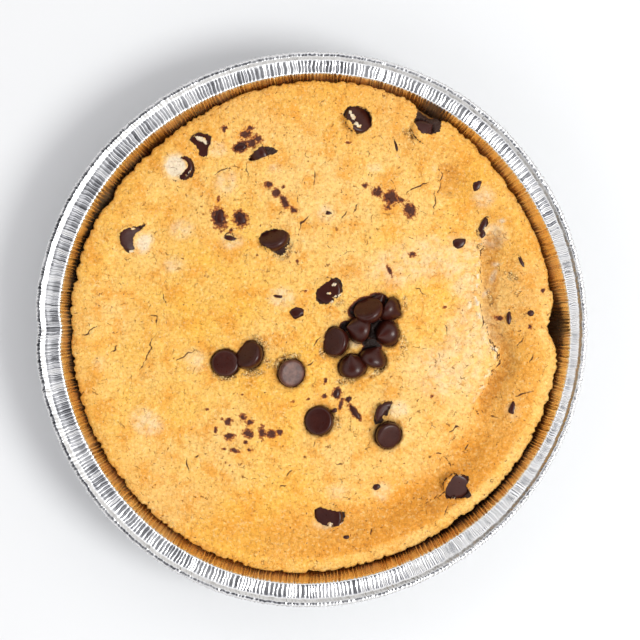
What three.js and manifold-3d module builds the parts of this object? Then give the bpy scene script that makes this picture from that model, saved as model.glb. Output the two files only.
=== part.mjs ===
// A chocolate chip cookie pizza in the foil pan it was baked in.
// Three kinds of sub-part: the pleated foil pan, the one thick cookie baked into it, and the
// chocolate chips that stand in its top. Millimetres, +Z up, the pan's floor on z = 0.

import * as THREE from 'three';
import { mergeVertices } from 'three/addons/utils/BufferGeometryUtils.js';
import Module from 'manifold-3d';

const wasm = await Module();
wasm.setup();

// Driving dimensions of the foil pan.
const SHEET = 0.4;              // wall thickness, thicker than real foil so that it stays a solid
const FLOOR_RADIUS = 84.0;      // flat floor, out to the start of the corner
const CORNER_RADIUS = 86.0;     // where the wall starts to rise straight
const CORNER_HEIGHT = 3.2;
const WALL_TOP_RADIUS = 99.7;
const WALL_TOP_HEIGHT = 28.8;
const FLANGE_START = 100.5;     // flat rim that runs outward from the wall
const FLANGE_END = 105.8;
const FLANGE_HEIGHT = 29.9;
const BEAD_RADIUS = 1.4;        // rolled edge
const BEAD_CENTRE = 107.3;
const PLEATS = 72;              // folds round the wall
const WALL_PLEAT = 0.35;        // depth of a fold to each side of the sheet
const FLANGE_PLEAT = 0.3;
const RIM_WAVES = [             // how far the rim is from round: waves round, size, direction
  [1, 0.58, 28], [2, 0.39, 78], [3, 0.33, -19], [4, 0.56, -64],
];
const FLANGE_WAVES = [          // how far the flat rim's width is from even
  [1, 1.06, 186], [2, 0.32, 172], [3, 0.39, 141], [4, 0.31, 127],
];
const BEND_UP = 14;             // degrees that the rim is bent up on one side
const BEND_AT = -14;
const BEND_WIDTH = 38;
const OFF_CENTRE = 0.39;        // the rim's box lies this far to one side of the floor's centre
const DENT = 1.1;               // knock in the wall
const DENT_AT = 180;
const DENT_WIDTH = 3.2;

// Driving dimensions of the cookie.
const GAP = 0.32;               // clearance between pieces that touch
const COOKIE_BASE = SHEET + 0.3;
const EDGE_HEIGHT = 23.7;       // where the cookie's top meets its side
const PLATEAU = 25.9;           // level of the top half way out
const CROWN = 2.3;              // rise of the middle over that
const SHOULDER = 0.8;           // rise of the ring just inside the edge
const TROUGH = 0.5;             // sunk ring inside the shoulder
const TROUGH_DEEP = 1.2;        // further depth where the trough is deepest
const TROUGH_AT = -45;
const EDGE_DROP = 2.5;          // how far the shoulder rounds down to the edge
const EDGE_WAVES = [            // rise and fall of the line where the cookie leaves the wall
  [1, 0.5, 57], [2, 0.9, 143], [3, 0.8, -91], [4, 0.7, -58], [7, 0.25, 30],
];
const NOTCHES = [               // bites out of the edge: direction, width in degrees, depth
  [0, 4.5, 1.9], [148, 2.2, 1.3], [307, 1.6, 0.9], [62, 3.0, 1.0],
];
const AROUND = 80;              // facets round the cookie

// Driving dimensions of a chocolate chip.
const CHIP_RADIUS = 5.5;
const CHIP_HEIGHT = 7.6;
const CHIP_FACETS = 12;

const rad = THREE.MathUtils.degToRad;
const swing = (angle, waves) =>
  waves.reduce((sum, [n, size, at]) => sum + size * Math.cos(n * angle - rad(at)), 0);
const smooth = THREE.MathUtils.smoothstep;

// Height of a soft bump, 1 at its middle.
function bump(x, middle, width) {
  return Math.exp(-(((x - middle) / width) ** 2));
}

// The same for a direction in degrees, the short way round.
function bumpAt(angle, at, width) {
  const turn = THREE.MathUtils.euclideanModulo(THREE.MathUtils.radToDeg(angle) - at + 180, 360) - 180;
  return bump(turn, 0, width);
}

// Radius of the middle of the pan's sheet at a height, without its folds.
function wallRadius(angle, height) {
  const up = (height - CORNER_HEIGHT) / (WALL_TOP_HEIGHT - CORNER_HEIGHT);
  const knock = DENT * bumpAt(angle, DENT_AT, DENT_WIDTH);
  return CORNER_RADIUS + (WALL_TOP_RADIUS - CORNER_RADIUS) * up
    + (swing(angle, RIM_WAVES) - knock) * Math.max(up, 0);
}

// Stations along the sheet's middle line, from the floor out and round the rolled edge:
// radius, height, share of the fold's depth in the wall and in the flange, share of the waves.
function sheetStations(angle) {
  const stations = [
    [FLOOR_RADIUS, SHEET / 2, 0, 0],
    [CORNER_RADIUS, CORNER_HEIGHT, 0.35, 0],
    [wallRadius(angle, WALL_TOP_HEIGHT), WALL_TOP_HEIGHT, 1, 0],
  ];
  const wave = wallRadius(angle, WALL_TOP_HEIGHT) - WALL_TOP_RADIUS;
  const bend = rad(BEND_UP) * bumpAt(angle, BEND_AT, BEND_WIDTH);
  const outer = [
    [FLANGE_START, FLANGE_HEIGHT, 0.2, 0.8],
    [FLANGE_END, FLANGE_HEIGHT + 0.5, 0, 0.7],
  ];
  for (const turn of [118, 50, -20, -98]) {
    outer.push([
      BEAD_CENTRE + (BEAD_RADIUS - SHEET / 2) * Math.cos(rad(turn)),
      FLANGE_HEIGHT + 0.6 + (BEAD_RADIUS - SHEET / 2) * Math.sin(rad(turn)), 0, 0,
    ]);
  }
  const wider = swing(angle, FLANGE_WAVES);
  for (const [radius, height, wall, flange] of outer) {
    const share = Math.min((radius - FLANGE_START) / (FLANGE_END - FLANGE_START), 1);
    const out = radius - FLANGE_START + wider * share;
    const up = height - FLANGE_HEIGHT;
    stations.push([
      FLANGE_START + wave + out * Math.cos(bend) - up * Math.sin(bend),
      FLANGE_HEIGHT + out * Math.sin(bend) + up * Math.cos(bend), wall, flange,
    ]);
  }
  return stations;
}

// Both faces of the pleated sheet at one direction, as radius and height pairs: up the
// inside from the floor to the rolled edge, then back down the outside.
function sheetOutline(angle, side) {
  const stations = sheetStations(angle);
  const inside = [];
  const outside = [];
  stations.forEach(([radius, height, wall, flange], i) => {
    const before = stations[Math.max(i - 1, 0)];
    const after = stations[Math.min(i + 1, stations.length - 1)];
    const along = new THREE.Vector2(after[0] - before[0], after[1] - before[1]).normalize();
    if (i === 0) along.set(1, 0);
    const normal = new THREE.Vector2(-along.y, along.x);
    const fold = side * (wall * WALL_PLEAT + flange * FLANGE_PLEAT);
    const middle = new THREE.Vector2(radius, height).addScaledVector(normal, fold);
    inside.push(middle.clone().addScaledVector(normal, SHEET / 2));
    outside.push(middle.clone().addScaledVector(normal, -SHEET / 2));
  });
  return [...inside, ...outside.reverse()];
}

// A closed surface from one ring of points for each direction. The first and the last ring
// are closed by a point on the axis.
function ringSolid(rings, firstHeight, lastHeight) {
  const around = rings[0].length;
  const positions = [0, 0, firstHeight];
  const index = [];
  for (const ring of rings) for (const p of ring) positions.push(p.x, p.y, p.z);
  positions.push(0, 0, lastHeight);
  const last = positions.length / 3 - 1;
  const at = (ring, step) => 1 + ring * around + (step % around);
  for (let step = 0; step < around; step += 1) {
    index.push(0, at(0, step), at(0, step + 1));
    for (let ring = 0; ring + 1 < rings.length; ring += 1) {
      index.push(at(ring, step), at(ring + 1, step), at(ring + 1, step + 1));
      index.push(at(ring, step), at(ring + 1, step + 1), at(ring, step + 1));
    }
    index.push(at(rings.length - 1, step), last, at(rings.length - 1, step + 1));
  }
  const geometry = new THREE.BufferGeometry();
  geometry.setAttribute('position', new THREE.Float32BufferAttribute(positions, 3));
  geometry.setIndex(index);
  return geometry;
}

// The foil pan: floor, pleated wall, pleated flange and rolled edge in one sheet.
function foilPan() {
  const steps = PLEATS * 2;
  const outlines = [];
  for (let step = 0; step < steps; step += 1) {
    const angle = (step / steps) * 2 * Math.PI;
    const side = step % 2 === 0 ? 1 : -1;
    outlines.push(sheetOutline(angle, side).map((p) => new THREE.Vector3(
      p.x * Math.cos(angle), p.x * Math.sin(angle), p.y)));
  }
  const rings = outlines[0].map((_, k) => outlines.map((outline) => outline[k]));
  return ringSolid(rings, SHEET, 0);
}

// Height of the line where the cookie leaves the wall, and its radius there.
function edgeHeight(angle) {
  return EDGE_HEIGHT + swing(angle, EDGE_WAVES);
}

function edgeNotch(angle) {
  return NOTCHES.reduce((sum, [at, width, depth]) => sum + depth * bumpAt(angle, at, width), 0);
}

function cookieSide(angle, height) {
  const near = wallRadius(angle, height) - SHEET / 2 - WALL_PLEAT - GAP - 0.1;
  return near - edgeNotch(angle) * smooth(height, 10, edgeHeight(angle));
}

// Level of the baked top at a share of the way from the middle to the edge.
function cookieTop(angle, share) {
  const edge = edgeHeight(angle) - EDGE_HEIGHT;
  const x = 95 * share * Math.cos(angle);
  const y = 95 * share * Math.sin(angle);
  const swell = 0.3 * Math.sin(x / 17 + 1.3) * Math.cos(y / 21 - 0.4)
    + 0.2 * Math.sin(x / 9 - y / 12 + 0.7);
  const trough = TROUGH + TROUGH_DEEP * bumpAt(angle, TROUGH_AT, 42);
  const down = Math.max(share - 0.925, 0) / 0.075;
  return PLATEAU + CROWN * (1 - smooth(share, 0.2, 0.82))
    + swell * (1 - share ** 6)
    - trough * bump(share, 0.79, 0.1)
    + SHOULDER * bump(share, 0.905, 0.05)
    + edge * smooth(share, 0.6, 1)
    - EDGE_DROP * down ** 2.1;
}

// Level of the top under a point of the plan.
function levelAt(x, y) {
  const angle = Math.atan2(y, x);
  return cookieTop(angle, Math.min(Math.hypot(x, y) / cookieSide(angle, edgeHeight(angle)), 1));
}

// The one thick cookie: flat underneath, sides that follow the pan, a domed and sunk top.
function cookieBody() {
  const shares = [0.26, 0.47, 0.64, 0.74, 0.81, 0.87, 0.92, 0.958, 0.985, 1];
  const ring = (radiusAt, heightAt) => Array.from({ length: AROUND }, (_, step) => {
    const angle = (step / AROUND) * 2 * Math.PI;
    const radius = radiusAt(angle);
    return new THREE.Vector3(
      radius * Math.cos(angle), radius * Math.sin(angle), heightAt(angle));
  });
  const widest = (angle) => cookieSide(angle, edgeHeight(angle));
  const rings = shares.map((share) => ring(
    (angle) => widest(angle) * share, (angle) => cookieTop(angle, share)));
  for (const drop of [0.72, 0.4]) {
    const height = (angle) => COOKIE_BASE + (edgeHeight(angle) - COOKIE_BASE) * drop;
    rings.push(ring((angle) => cookieSide(angle, height(angle)), height));
  }
  rings.push(ring((angle) => cookieSide(angle, CORNER_HEIGHT + 1), () => CORNER_HEIGHT + 1));
  rings.push(ring(() => FLOOR_RADIUS - 0.9, () => COOKIE_BASE));
  return ringSolid(rings, cookieTop(0, 0), COOKIE_BASE);
}

// A drop turned about its axis, its origin in the middle of its mass. The profile is pairs
// of shares of the chip's radius and height.
function drop(profile, radius, height, middle) {
  const points = profile.map(([out, up]) => new THREE.Vector2(
    out * radius, up * height - middle));
  return new THREE.LatheGeometry(points, CHIP_FACETS).rotateX(Math.PI / 2);
}

// A chip has a flat round base, a full shoulder and a drawn tip.
function chipShape(size) {
  const profile = [[0, 0], [0.9, 0], [1, 0.2], [0.86, 0.48], [0.34, 0.83], [0, 1]];
  return drop(profile, CHIP_RADIUS * size, CHIP_HEIGHT * size, 0.38 * CHIP_HEIGHT * size);
}

// The pocket round a chip: the same drop, plainer, and wider all round by the clearance.
function pocketShape(size) {
  const radius = CHIP_RADIUS * size + GAP * 1.06;
  const height = CHIP_HEIGHT * size + GAP * 2;
  const profile = [[0, 0], [1, 0], [1, 0.27], [0.88, 0.53], [0.36, 0.88], [0, 1]];
  return drop(profile, radius, height, 0.38 * CHIP_HEIGHT * size + GAP);
}

// Each chip: name, place in the plan, how far its middle is above the top, size,
// lean of its tip from straight up and the direction that the tip leans to.
const CHIPS = [
  ['chip_row_left', -34.5, -13.3, -1.2, 0.97, 176, 200],
  ['chip_row_middle', -24.1, -10.6, 0.2, 1.05, 136, -35],
  ['chip_row_right', -8.8, -16.9, -0.4, 0.97, 157, 160],
  ['chip_heap_top', 22.4, 6.6, 1.5, 1.08, 132, -68],
  ['chip_heap_flat', 9.9, -5.0, 0.2, 1.04, 140, -8],
  ['chip_heap_point', 15.5, -13.7, 1.3, 1.0, 50, 104],
  ['chip_heap_lying', 17.6, 0.5, 1.7, 1.02, 62, 165],
  ['chip_heap_low', 24.1, -10.6, 0.6, 0.97, 74, 70],
  ['chip_heap_side', 28.6, -1.8, 0.7, 0.94, 40, 200],
  ['chip_heap_right', 31.0, 7.4, -0.4, 0.9, 80, -30],
  ['chip_heap_back', 26.0, 11.8, -3.2, 0.92, 30, 60],
  ['chip_heap_buried', 16.4, 7.4, -3.9, 0.9, 25, 150],
  ['chip_pair_upper', 2.9, -36.0, -0.9, 1.03, 166, -8],
  ['chip_pair_lower', 29.4, -41.2, 0.6, 0.95, 150, 136],
  ['chip_pair_broken', 29.6, -33.4, -1.0, 0.98, 168, 140],
  ['chip_middle_big', -14.9, 35.0, -1.6, 1.1, 134, -72],
  ['chip_middle_oblong', 6.1, 15.6, -2.4, 1.0, 168, 25],
  ['chip_far_top', 17.4, 82.6, -2.3, 1.06, 150, 210],
  ['chip_edge_right', 43.6, 78.6, -1.6, 0.95, 60, 35],
  ['chip_low_right', 56.6, -61.6, -2.2, 1.0, 160, 115],
  ['chip_low_middle', 6.6, -74.2, -2.5, 1.1, 163, 8],
  ['chip_left_upper', -72.0, 36.3, -2.4, 1.0, 165, 175],
  ['chip_cream_left', -52.7, 64.1, -2.7, 1.06, 172, 20],
  ['chip_cream_right', -43.7, 73.1, -2.9, 1.0, 168, 80],
  ['chip_smeared', -21.4, 69.0, -3.0, 1.0, 84, 205],
];

// Flakes and shards of chocolate too small to stand alone, baked into the top:
// place in the plan, length, width, direction.
const SHARDS = [
  [57.8, 33.9, 6.2, 5.0, 20], [64.9, 57.0, 4.6, 3.2, 60], [67.6, 41.4, 7.0, 3.4, 65],
  [79.0, -31.2, 5.2, 3.0, 80], [75.5, 4.5, 5.4, 3.4, 150], [-6.1, 6.5, 5.4, 4.4, 10],
  [9.4, -25.2, 3.8, 3.0, 70], [14.2, -27.4, 3.0, 2.2, 30], [16.6, -32.5, 6.4, 2.4, -50],
  [-36.7, 44.1, 5.8, 4.4, 70], [-28.6, 43.8, 5.4, 3.6, 110],
];
const SHARD_PROUD = 0.55;       // how far a shard stands above the top

function toSolid(geometry) {
  const bare = geometry.clone();
  bare.deleteAttribute('normal');
  bare.deleteAttribute('uv');
  const merged = mergeVertices(bare, 1e-5);
  return new wasm.Manifold(new wasm.Mesh({
    numProp: 3,
    vertProperties: new Float32Array(merged.attributes.position.array),
    triVerts: new Uint32Array(merged.index.array),
  }));
}

function toGeometry(solid) {
  const mesh = solid.getMesh();
  const geometry = new THREE.BufferGeometry();
  geometry.setAttribute('position',
    new THREE.Float32BufferAttribute(Array.from(mesh.vertProperties), mesh.numProp));
  geometry.setIndex(Array.from(mesh.triVerts));
  return geometry;
}

// The largest closed body of a solid: a cut can leave loose scraps.
function largest(solid) {
  return solid.decompose().reduce((a, b) => (a.volume() > b.volume() ? a : b));
}

function placed(geometry, [, x, y, lift, , lean, heading]) {
  const tilt = new THREE.Matrix4().makeRotationY(rad(lean));
  const turn = new THREE.Matrix4().makeRotationZ(rad(heading));
  const move = new THREE.Matrix4().makeTranslation(x, y, levelAt(x, y) + lift);
  return geometry.clone().applyMatrix4(move.multiply(turn).multiply(tilt));
}

function flat(colour, roughness, metalness = 0) {
  return new THREE.MeshStandardMaterial({ color: colour, roughness, metalness, flatShading: true });
}

const foil = flat(0xc9ccce, 0.25, 1);
const crumb = flat(0xe6b368, 0.85);
const chocolate = flat(0x46261e, 0.4);

const part = new THREE.Group();
part.position.x = OFF_CENTRE;

function addPiece(name, geometry, material) {
  const mesh = new THREE.Mesh(geometry, material);
  mesh.name = name;
  geometry.computeVertexNormals();
  part.add(mesh);
}

// The broken chip is cut through along a line in the plan, and its left part is kept.
const BREAK_AT = [29.3, -31.6];
const BREAK_TOWARD = [-0.78, 0.62];

// Chips that lie against one another are pressed flat where they meet.
const chipSolids = [];
for (const chip of CHIPS) {
  let solid = toSolid(placed(chipShape(chip[4]), chip));
  CHIPS.slice(0, chipSolids.length).forEach((other) => {
    if (Math.hypot(other[1] - chip[1], other[2] - chip[2]) < 16) {
      solid = solid.subtract(toSolid(placed(pocketShape(other[4]), other)));
    }
  });
  if (chip[0] === 'chip_pair_broken') {
    const reach = BREAK_AT[0] * BREAK_TOWARD[0] + BREAK_AT[1] * BREAK_TOWARD[1];
    solid = solid.trimByPlane([...BREAK_TOWARD, 0], reach);
  }
  chipSolids.push(largest(solid).simplify(0.02));
}

// The cookie with its shards joined on and a pocket cut for every chip.
let cookie = toSolid(cookieBody());
for (const [x, y, long, wide, turn] of SHARDS) {
  const lump = new THREE.OctahedronGeometry(1, 1)
    .scale(long / 2, wide / 2, 1.6)
    .rotateZ(rad(turn))
    .translate(x, y, levelAt(x, y) + SHARD_PROUD - 1.6);
  cookie = cookie.add(toSolid(lump));
}
for (const chip of CHIPS) {
  cookie = cookie.subtract(toSolid(placed(pocketShape(chip[4]), chip)));
}
cookie = largest(cookie).simplify(0.03);

addPiece('foil_pan', foilPan(), foil);
addPiece('cookie', toGeometry(cookie), crumb);
CHIPS.forEach(([name], i) => addPiece(name, toGeometry(chipSolids[i]), chocolate));

export default part;
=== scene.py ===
# %% [markdown]
# A chocolate chip cookie pizza in the foil pan it was baked in. The pan is one sheet of
# pleated aluminium foil, the cookie is one thick slab that rose against the pan's wall and
# shrank a little as it cooled, and chocolate chips stand in its top or hide just under it.
# The solids give every size and place. This file gives the pieces their fine form, such as
# pleats, cracks and crumbs, and their finish. Everything is worked out in millimetres, in
# the plan of the pan as it is seen from above, and turned to metres when a mesh is made.

# %% Load the measured solids
import math

import bmesh
import bpy
import numpy as np
from mathutils import Matrix, Vector, noise
from mathutils.bvhtree import BVHTree


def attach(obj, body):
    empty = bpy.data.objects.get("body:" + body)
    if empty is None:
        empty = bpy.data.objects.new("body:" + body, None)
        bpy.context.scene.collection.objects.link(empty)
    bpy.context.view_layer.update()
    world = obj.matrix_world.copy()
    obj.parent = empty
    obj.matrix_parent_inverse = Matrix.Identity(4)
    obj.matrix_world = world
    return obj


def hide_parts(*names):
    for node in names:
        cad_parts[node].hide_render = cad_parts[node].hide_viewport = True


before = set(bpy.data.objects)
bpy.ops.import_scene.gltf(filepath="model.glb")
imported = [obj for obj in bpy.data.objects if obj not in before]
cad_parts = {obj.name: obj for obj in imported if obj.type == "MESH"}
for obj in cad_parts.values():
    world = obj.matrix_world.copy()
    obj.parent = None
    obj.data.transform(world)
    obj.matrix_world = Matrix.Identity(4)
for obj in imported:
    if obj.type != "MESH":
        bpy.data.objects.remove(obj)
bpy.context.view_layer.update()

# %% [markdown]
# A few small helpers serve the whole file. One adds a mesh from points in millimetres. One
# adds a shader node, sets what is given, and links what is a socket. Colours are written as
# the sRGB hex that a picture shows, and one function turns them to linear light. Noise
# textures count lumps in a metre, so each pattern's real size in millimetres is turned round.

# %% Helpers for meshes and materials
MM = 0.001
OFF_CENTRE = 0.39  # the pan's floor sits this far off the middle of its rim's box
rng = np.random.default_rng(7)


def linear(hex_colour):
    parts = [int(hex_colour[i:i + 2], 16) / 255 for i in (1, 3, 5)]
    return [p / 12.92 if p <= 0.04045 else ((p + 0.055) / 1.055) ** 2.4 for p in parts] + [1.0]


def add_node(tree, kind, **inputs):
    """Add a node. A key i0, i1 and so on names a socket by its place."""
    node = tree.nodes.new(kind)
    for key, value in inputs.items():
        if hasattr(node, key) and key not in node.inputs:
            setattr(node, key, value)
            continue
        socket = node.inputs[int(key[1:])] if key[0] == "i" and key[1:].isdigit() else node.inputs[key]
        if isinstance(value, bpy.types.NodeSocket):
            tree.links.new(value, socket)
        else:
            socket.default_value = value
    return node


def per_metre(feature_mm):
    return 1 / (feature_mm * MM)


def add_mesh(name, points, faces, material):
    mesh = bpy.data.meshes.new(name)
    moved = (np.asarray(points) + [OFF_CENTRE, 0, 0]) * MM
    mesh.from_pydata(moved.tolist(), [], faces)
    mesh.polygons.foreach_set("use_smooth", [True] * len(mesh.polygons))
    mesh.materials.append(material)
    piece = bpy.data.objects.new(name, mesh)
    bpy.context.scene.collection.objects.link(piece)
    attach(piece, "root")
    print(name, len(mesh.polygons), "faces")
    return piece


def keep_field(piece, name, values):
    """Keep one number for each point of a piece, for its material to read."""
    layer = piece.data.attributes.new(name, "FLOAT", "POINT")
    layer.data.foreach_set("value", np.asarray(values).astype(np.float32))


print("middle grey #808080 is", round(linear("#808080")[0], 3), "in linear light")

# %% [markdown]
# The rest of the helpers draw unevenness. A soft bump is 1 at one azimuth and
# fades to both sides, so a list of bumps says where round the pan something is larger or
# smaller. A wave goes all the way round. Azimuth 0 is at the right, 90 at the top.

# %% Helpers for soft and rough change
def smoothstep(x, low, high):
    t = np.clip((np.asarray(x, float) - low) / (high - low), 0, 1)
    return t * t * (3 - 2 * t)


def bump_at(angle, at, width):
    turn = (np.degrees(angle) - at + 180) % 360 - 180
    return np.exp(-((turn / width) ** 2))


def bumps(angle, rows):
    """Soft bumps added up: azimuth and width in degrees, then size."""
    return sum(size * bump_at(angle, at, width) for at, width, size in rows)


def swing(angle, waves):
    """Waves added up: how many go round, size, and azimuth of the first crest."""
    return sum(size * np.cos(n * angle - math.radians(at)) for n, size, at in waves)


def rough(points, scale, octaves=3, seed=0.0):
    """Smooth noise from -1 to 1 at each point, its lumps about scale mm across."""
    shift = Vector((seed, seed * 0.7, seed * 1.3))
    return np.array([noise.fractal(Vector(p) / scale + shift, 0.9, 2.0, octaves) for p in points])


print("a bump 40 degrees wide falls to", round(float(bump_at(np.radians(30), 0, 40)), 2), "at 30 degrees")

# %% [markdown]
# ## The camera and the light
# The picture looks straight down on the pan. The scale there is 0.392 mm for a pixel at
# the height of the rim. A large soft window light comes from the right, and the room is
# pale grey, so that the foil has something to mirror.

# %% Camera
PIXEL = 0.392
FRAME_PIXELS = 640
RIM_CENTRE = (312.5, 329.5)  # pixel of the middle of the pan
RIM_LEVEL = 31.0
CAMERA_RISE = 640.0  # above the rim, in mm
SENSOR = 36.0

camera_data = bpy.data.cameras.new("camera")
camera_data.sensor_width = SENSOR
camera_data.lens = SENSOR * CAMERA_RISE / (PIXEL * FRAME_PIXELS)
camera_data.clip_start = 0.01
camera = bpy.data.objects.new("camera", camera_data)
camera.location = (
    ((FRAME_PIXELS / 2 - RIM_CENTRE[0]) * PIXEL + OFF_CENTRE) * MM,
    (RIM_CENTRE[1] - FRAME_PIXELS / 2) * PIXEL * MM,
    (RIM_LEVEL + CAMERA_RISE) * MM,
)
bpy.context.scene.collection.objects.link(camera)
bpy.context.scene.camera = camera
print("lens", round(camera_data.lens, 1), "mm")

# %% Window light
WINDOW_AZIMUTH, WINDOW_ELEVATION = math.radians(-20), math.radians(52)
WINDOW_DISTANCE, WINDOW_SIZE = 1.5, 0.6  # in metres
WINDOW_WATTS = 13.8

window_data = bpy.data.lights.new("window", "AREA")
window_data.shape = "DISK"
window_data.size = WINDOW_SIZE
window_data.energy = WINDOW_WATTS
window_data.color = linear("#FFFFFC")[:3]
window_light = bpy.data.objects.new("window", window_data)
toward_window = Vector((math.cos(WINDOW_AZIMUTH) * math.cos(WINDOW_ELEVATION),
                        math.sin(WINDOW_AZIMUTH) * math.cos(WINDOW_ELEVATION), math.sin(WINDOW_ELEVATION)))
window_light.location = toward_window * WINDOW_DISTANCE
window_light.rotation_euler = toward_window.to_track_quat("Z", "Y").to_euler()
bpy.context.scene.collection.objects.link(window_light)
print("window light at", [round(v, 2) for v in window_light.location])

# %% [markdown]
# The room is a ramp of greys from the floor line up to the ceiling: dark low down, pale
# where the walls and windows are, and dark straight above, where someone holding a camera
# would stand. Bare foil shows little but its surroundings, so these greys are what makes
# it look like foil. The bands lean a little, because the windows are on one side.

# %% Pale room
ROOM_GREYS = [(0.0, "#2E2D2C"), (0.2, "#7C7974"), (0.4, "#C8C5C1"), (0.62, "#E2DFDB"),
              (0.84, "#C6C6CA"), (0.95, "#58585C"), (1.0, "#38383B")]
ROOM_LEAN = -0.22
ROOM_BRIGHTNESS = 1.8

world = bpy.data.worlds.new("room")
bpy.context.scene.world = world
world.use_nodes = True
tree = world.node_tree
tree.nodes.clear()
sky = add_node(tree, "ShaderNodeTexCoord")
apart = add_node(tree, "ShaderNodeSeparateXYZ", Vector=sky.outputs["Generated"])
leaning = add_node(tree, "ShaderNodeMath", operation="MULTIPLY_ADD",
                   i0=apart.outputs["X"], i1=ROOM_LEAN, i2=1.0)
height = add_node(tree, "ShaderNodeMath", operation="MULTIPLY", i0=apart.outputs["Z"], i1=leaning.outputs[0])
room = add_node(tree, "ShaderNodeValToRGB", Fac=height.outputs[0])
while len(room.color_ramp.elements) < len(ROOM_GREYS):
    room.color_ramp.elements.new(0.5)
for stop, (position, grey) in zip(room.color_ramp.elements, ROOM_GREYS):
    stop.position = position
    stop.color = linear(grey)
glow = add_node(tree, "ShaderNodeBackground", Color=room.outputs["Color"], Strength=ROOM_BRIGHTNESS)
add_node(tree, "ShaderNodeOutputWorld", Surface=glow.outputs["Background"])
bpy.context.scene.view_settings.view_transform = "Standard"
print("room of", len(ROOM_GREYS), "greys")

# %% Table
FLOOR_SIDE = 2.4  # in metres
FLOOR_GAP = 0.3  # the table lies this far under the pan, in mm


def plain_material(name, colour, roughness):
    material = bpy.data.materials.new(name)
    material.use_nodes = True
    shader = material.node_tree.nodes["Principled BSDF"]
    shader.inputs["Base Color"].default_value = linear(colour)
    shader.inputs["Roughness"].default_value = roughness
    return material


floor_mesh = bpy.data.meshes.new("table")
half = FLOOR_SIDE / 2
floor_mesh.from_pydata(
    [(-half, -half, 0), (half, -half, 0), (half, half, 0), (-half, half, 0)], [], [(0, 1, 2, 3)])
floor = bpy.data.objects.new("table", floor_mesh)
floor.location.z = -FLOOR_GAP * MM
floor_mesh.materials.append(plain_material("white table", "#E1E3E6", 0.7))
bpy.context.scene.collection.objects.link(floor)
print("table", FLOOR_SIDE, "m wide")

# %% [markdown]
# ## The foil pan
# A real pan of this kind is pressed from a flat disc of aluminium foil. The metal can't
# shrink, so the wall and the flat rim gather into hundreds of small pleats, and the edge is
# rolled over a ring to make it stiff. The sheet is drawn here the same way: one middle line
# from the floor up the wall and over the rolled edge, swept round in columns, with five
# columns to a pleat. Each pleat has its own width and depth. Foil is a tenth of a millimetre
# thick, so one sheet without thickness stands for it.

# %% Sizes of the pan
FLOOR_RADIUS = 84.0
FLOOR_LEVEL = 0.2
CORNER_RADIUS, CORNER_HEIGHT = 86.0, 3.2
WALL_TOP_RADIUS, WALL_TOP_HEIGHT = 99.7, 28.8
FLANGE_START, FLANGE_END, FLANGE_HEIGHT = 100.5, 105.8, 29.9
BEAD_RADIUS, BEAD_CENTRE, BEAD_LIFT = 1.4, 107.3, 0.6
BEAD_SHEET = 0.12  # the sheet's middle line runs this far inside the rolled edge's outline
RIM_WAVES = [(1, 0.58, 28), (2, 0.39, 78), (3, 0.33, -19), (4, 0.56, -64)]
FLANGE_WAVES = [(1, 1.06, 186), (2, 0.32, 172), (3, 0.39, 141), (4, 0.31, 127)]
BEND_UP, BEND_AT, BEND_WIDTH = 14, -14, 38
DENT, DENT_AT, DENT_WIDTH = 1.1, 180, 3.2
BELLY, BELLY_AT, BELLY_WIDTH = 1.1, 150, 40  # where the cookie pressed the wall outward
PLEATS = 470
COLUMNS_PER_PLEAT = 5
WALL_PLEAT = 0.4
FLANGE_PLEAT = 0.14
PLEAT_SWAY = 0.42  # how far a pleat wanders to the side on its way up
# angle round the rolled edge's section, then how far the pleats move it outward, and up
BEAD_TURNS = [(122, 0, 0.6), (106, 0, 0.35), (92, 0.1, 0.3), (78, 0.3, 0.35), (60, 0.7, 0.8),
              (40, 1.0, 0.9), (15, 1.4, 0.6), (-20, 1.4, 0.3), (-98, 0.4, 0.2)]


def wall_radius(angle, height):
    up = (height - CORNER_HEIGHT) / (WALL_TOP_HEIGHT - CORNER_HEIGHT)
    knock = DENT * bump_at(angle, DENT_AT, DENT_WIDTH)
    belly = BELLY * bump_at(angle, BELLY_AT, BELLY_WIDTH) * np.sin(math.pi * np.clip(up, 0, 1))
    return (CORNER_RADIUS + (WALL_TOP_RADIUS - CORNER_RADIUS) * up + belly
            + (swing(angle, RIM_WAVES) - knock) * np.maximum(up, 0))


print("wall leans", round(math.degrees(math.atan2(WALL_TOP_RADIUS - CORNER_RADIUS,
                                                  WALL_TOP_HEIGHT - CORNER_HEIGHT)), 1), "degrees outward")

# %% The sheet's middle line
WALL_STEPS, FLANGE_STEPS = 10, 7


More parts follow.
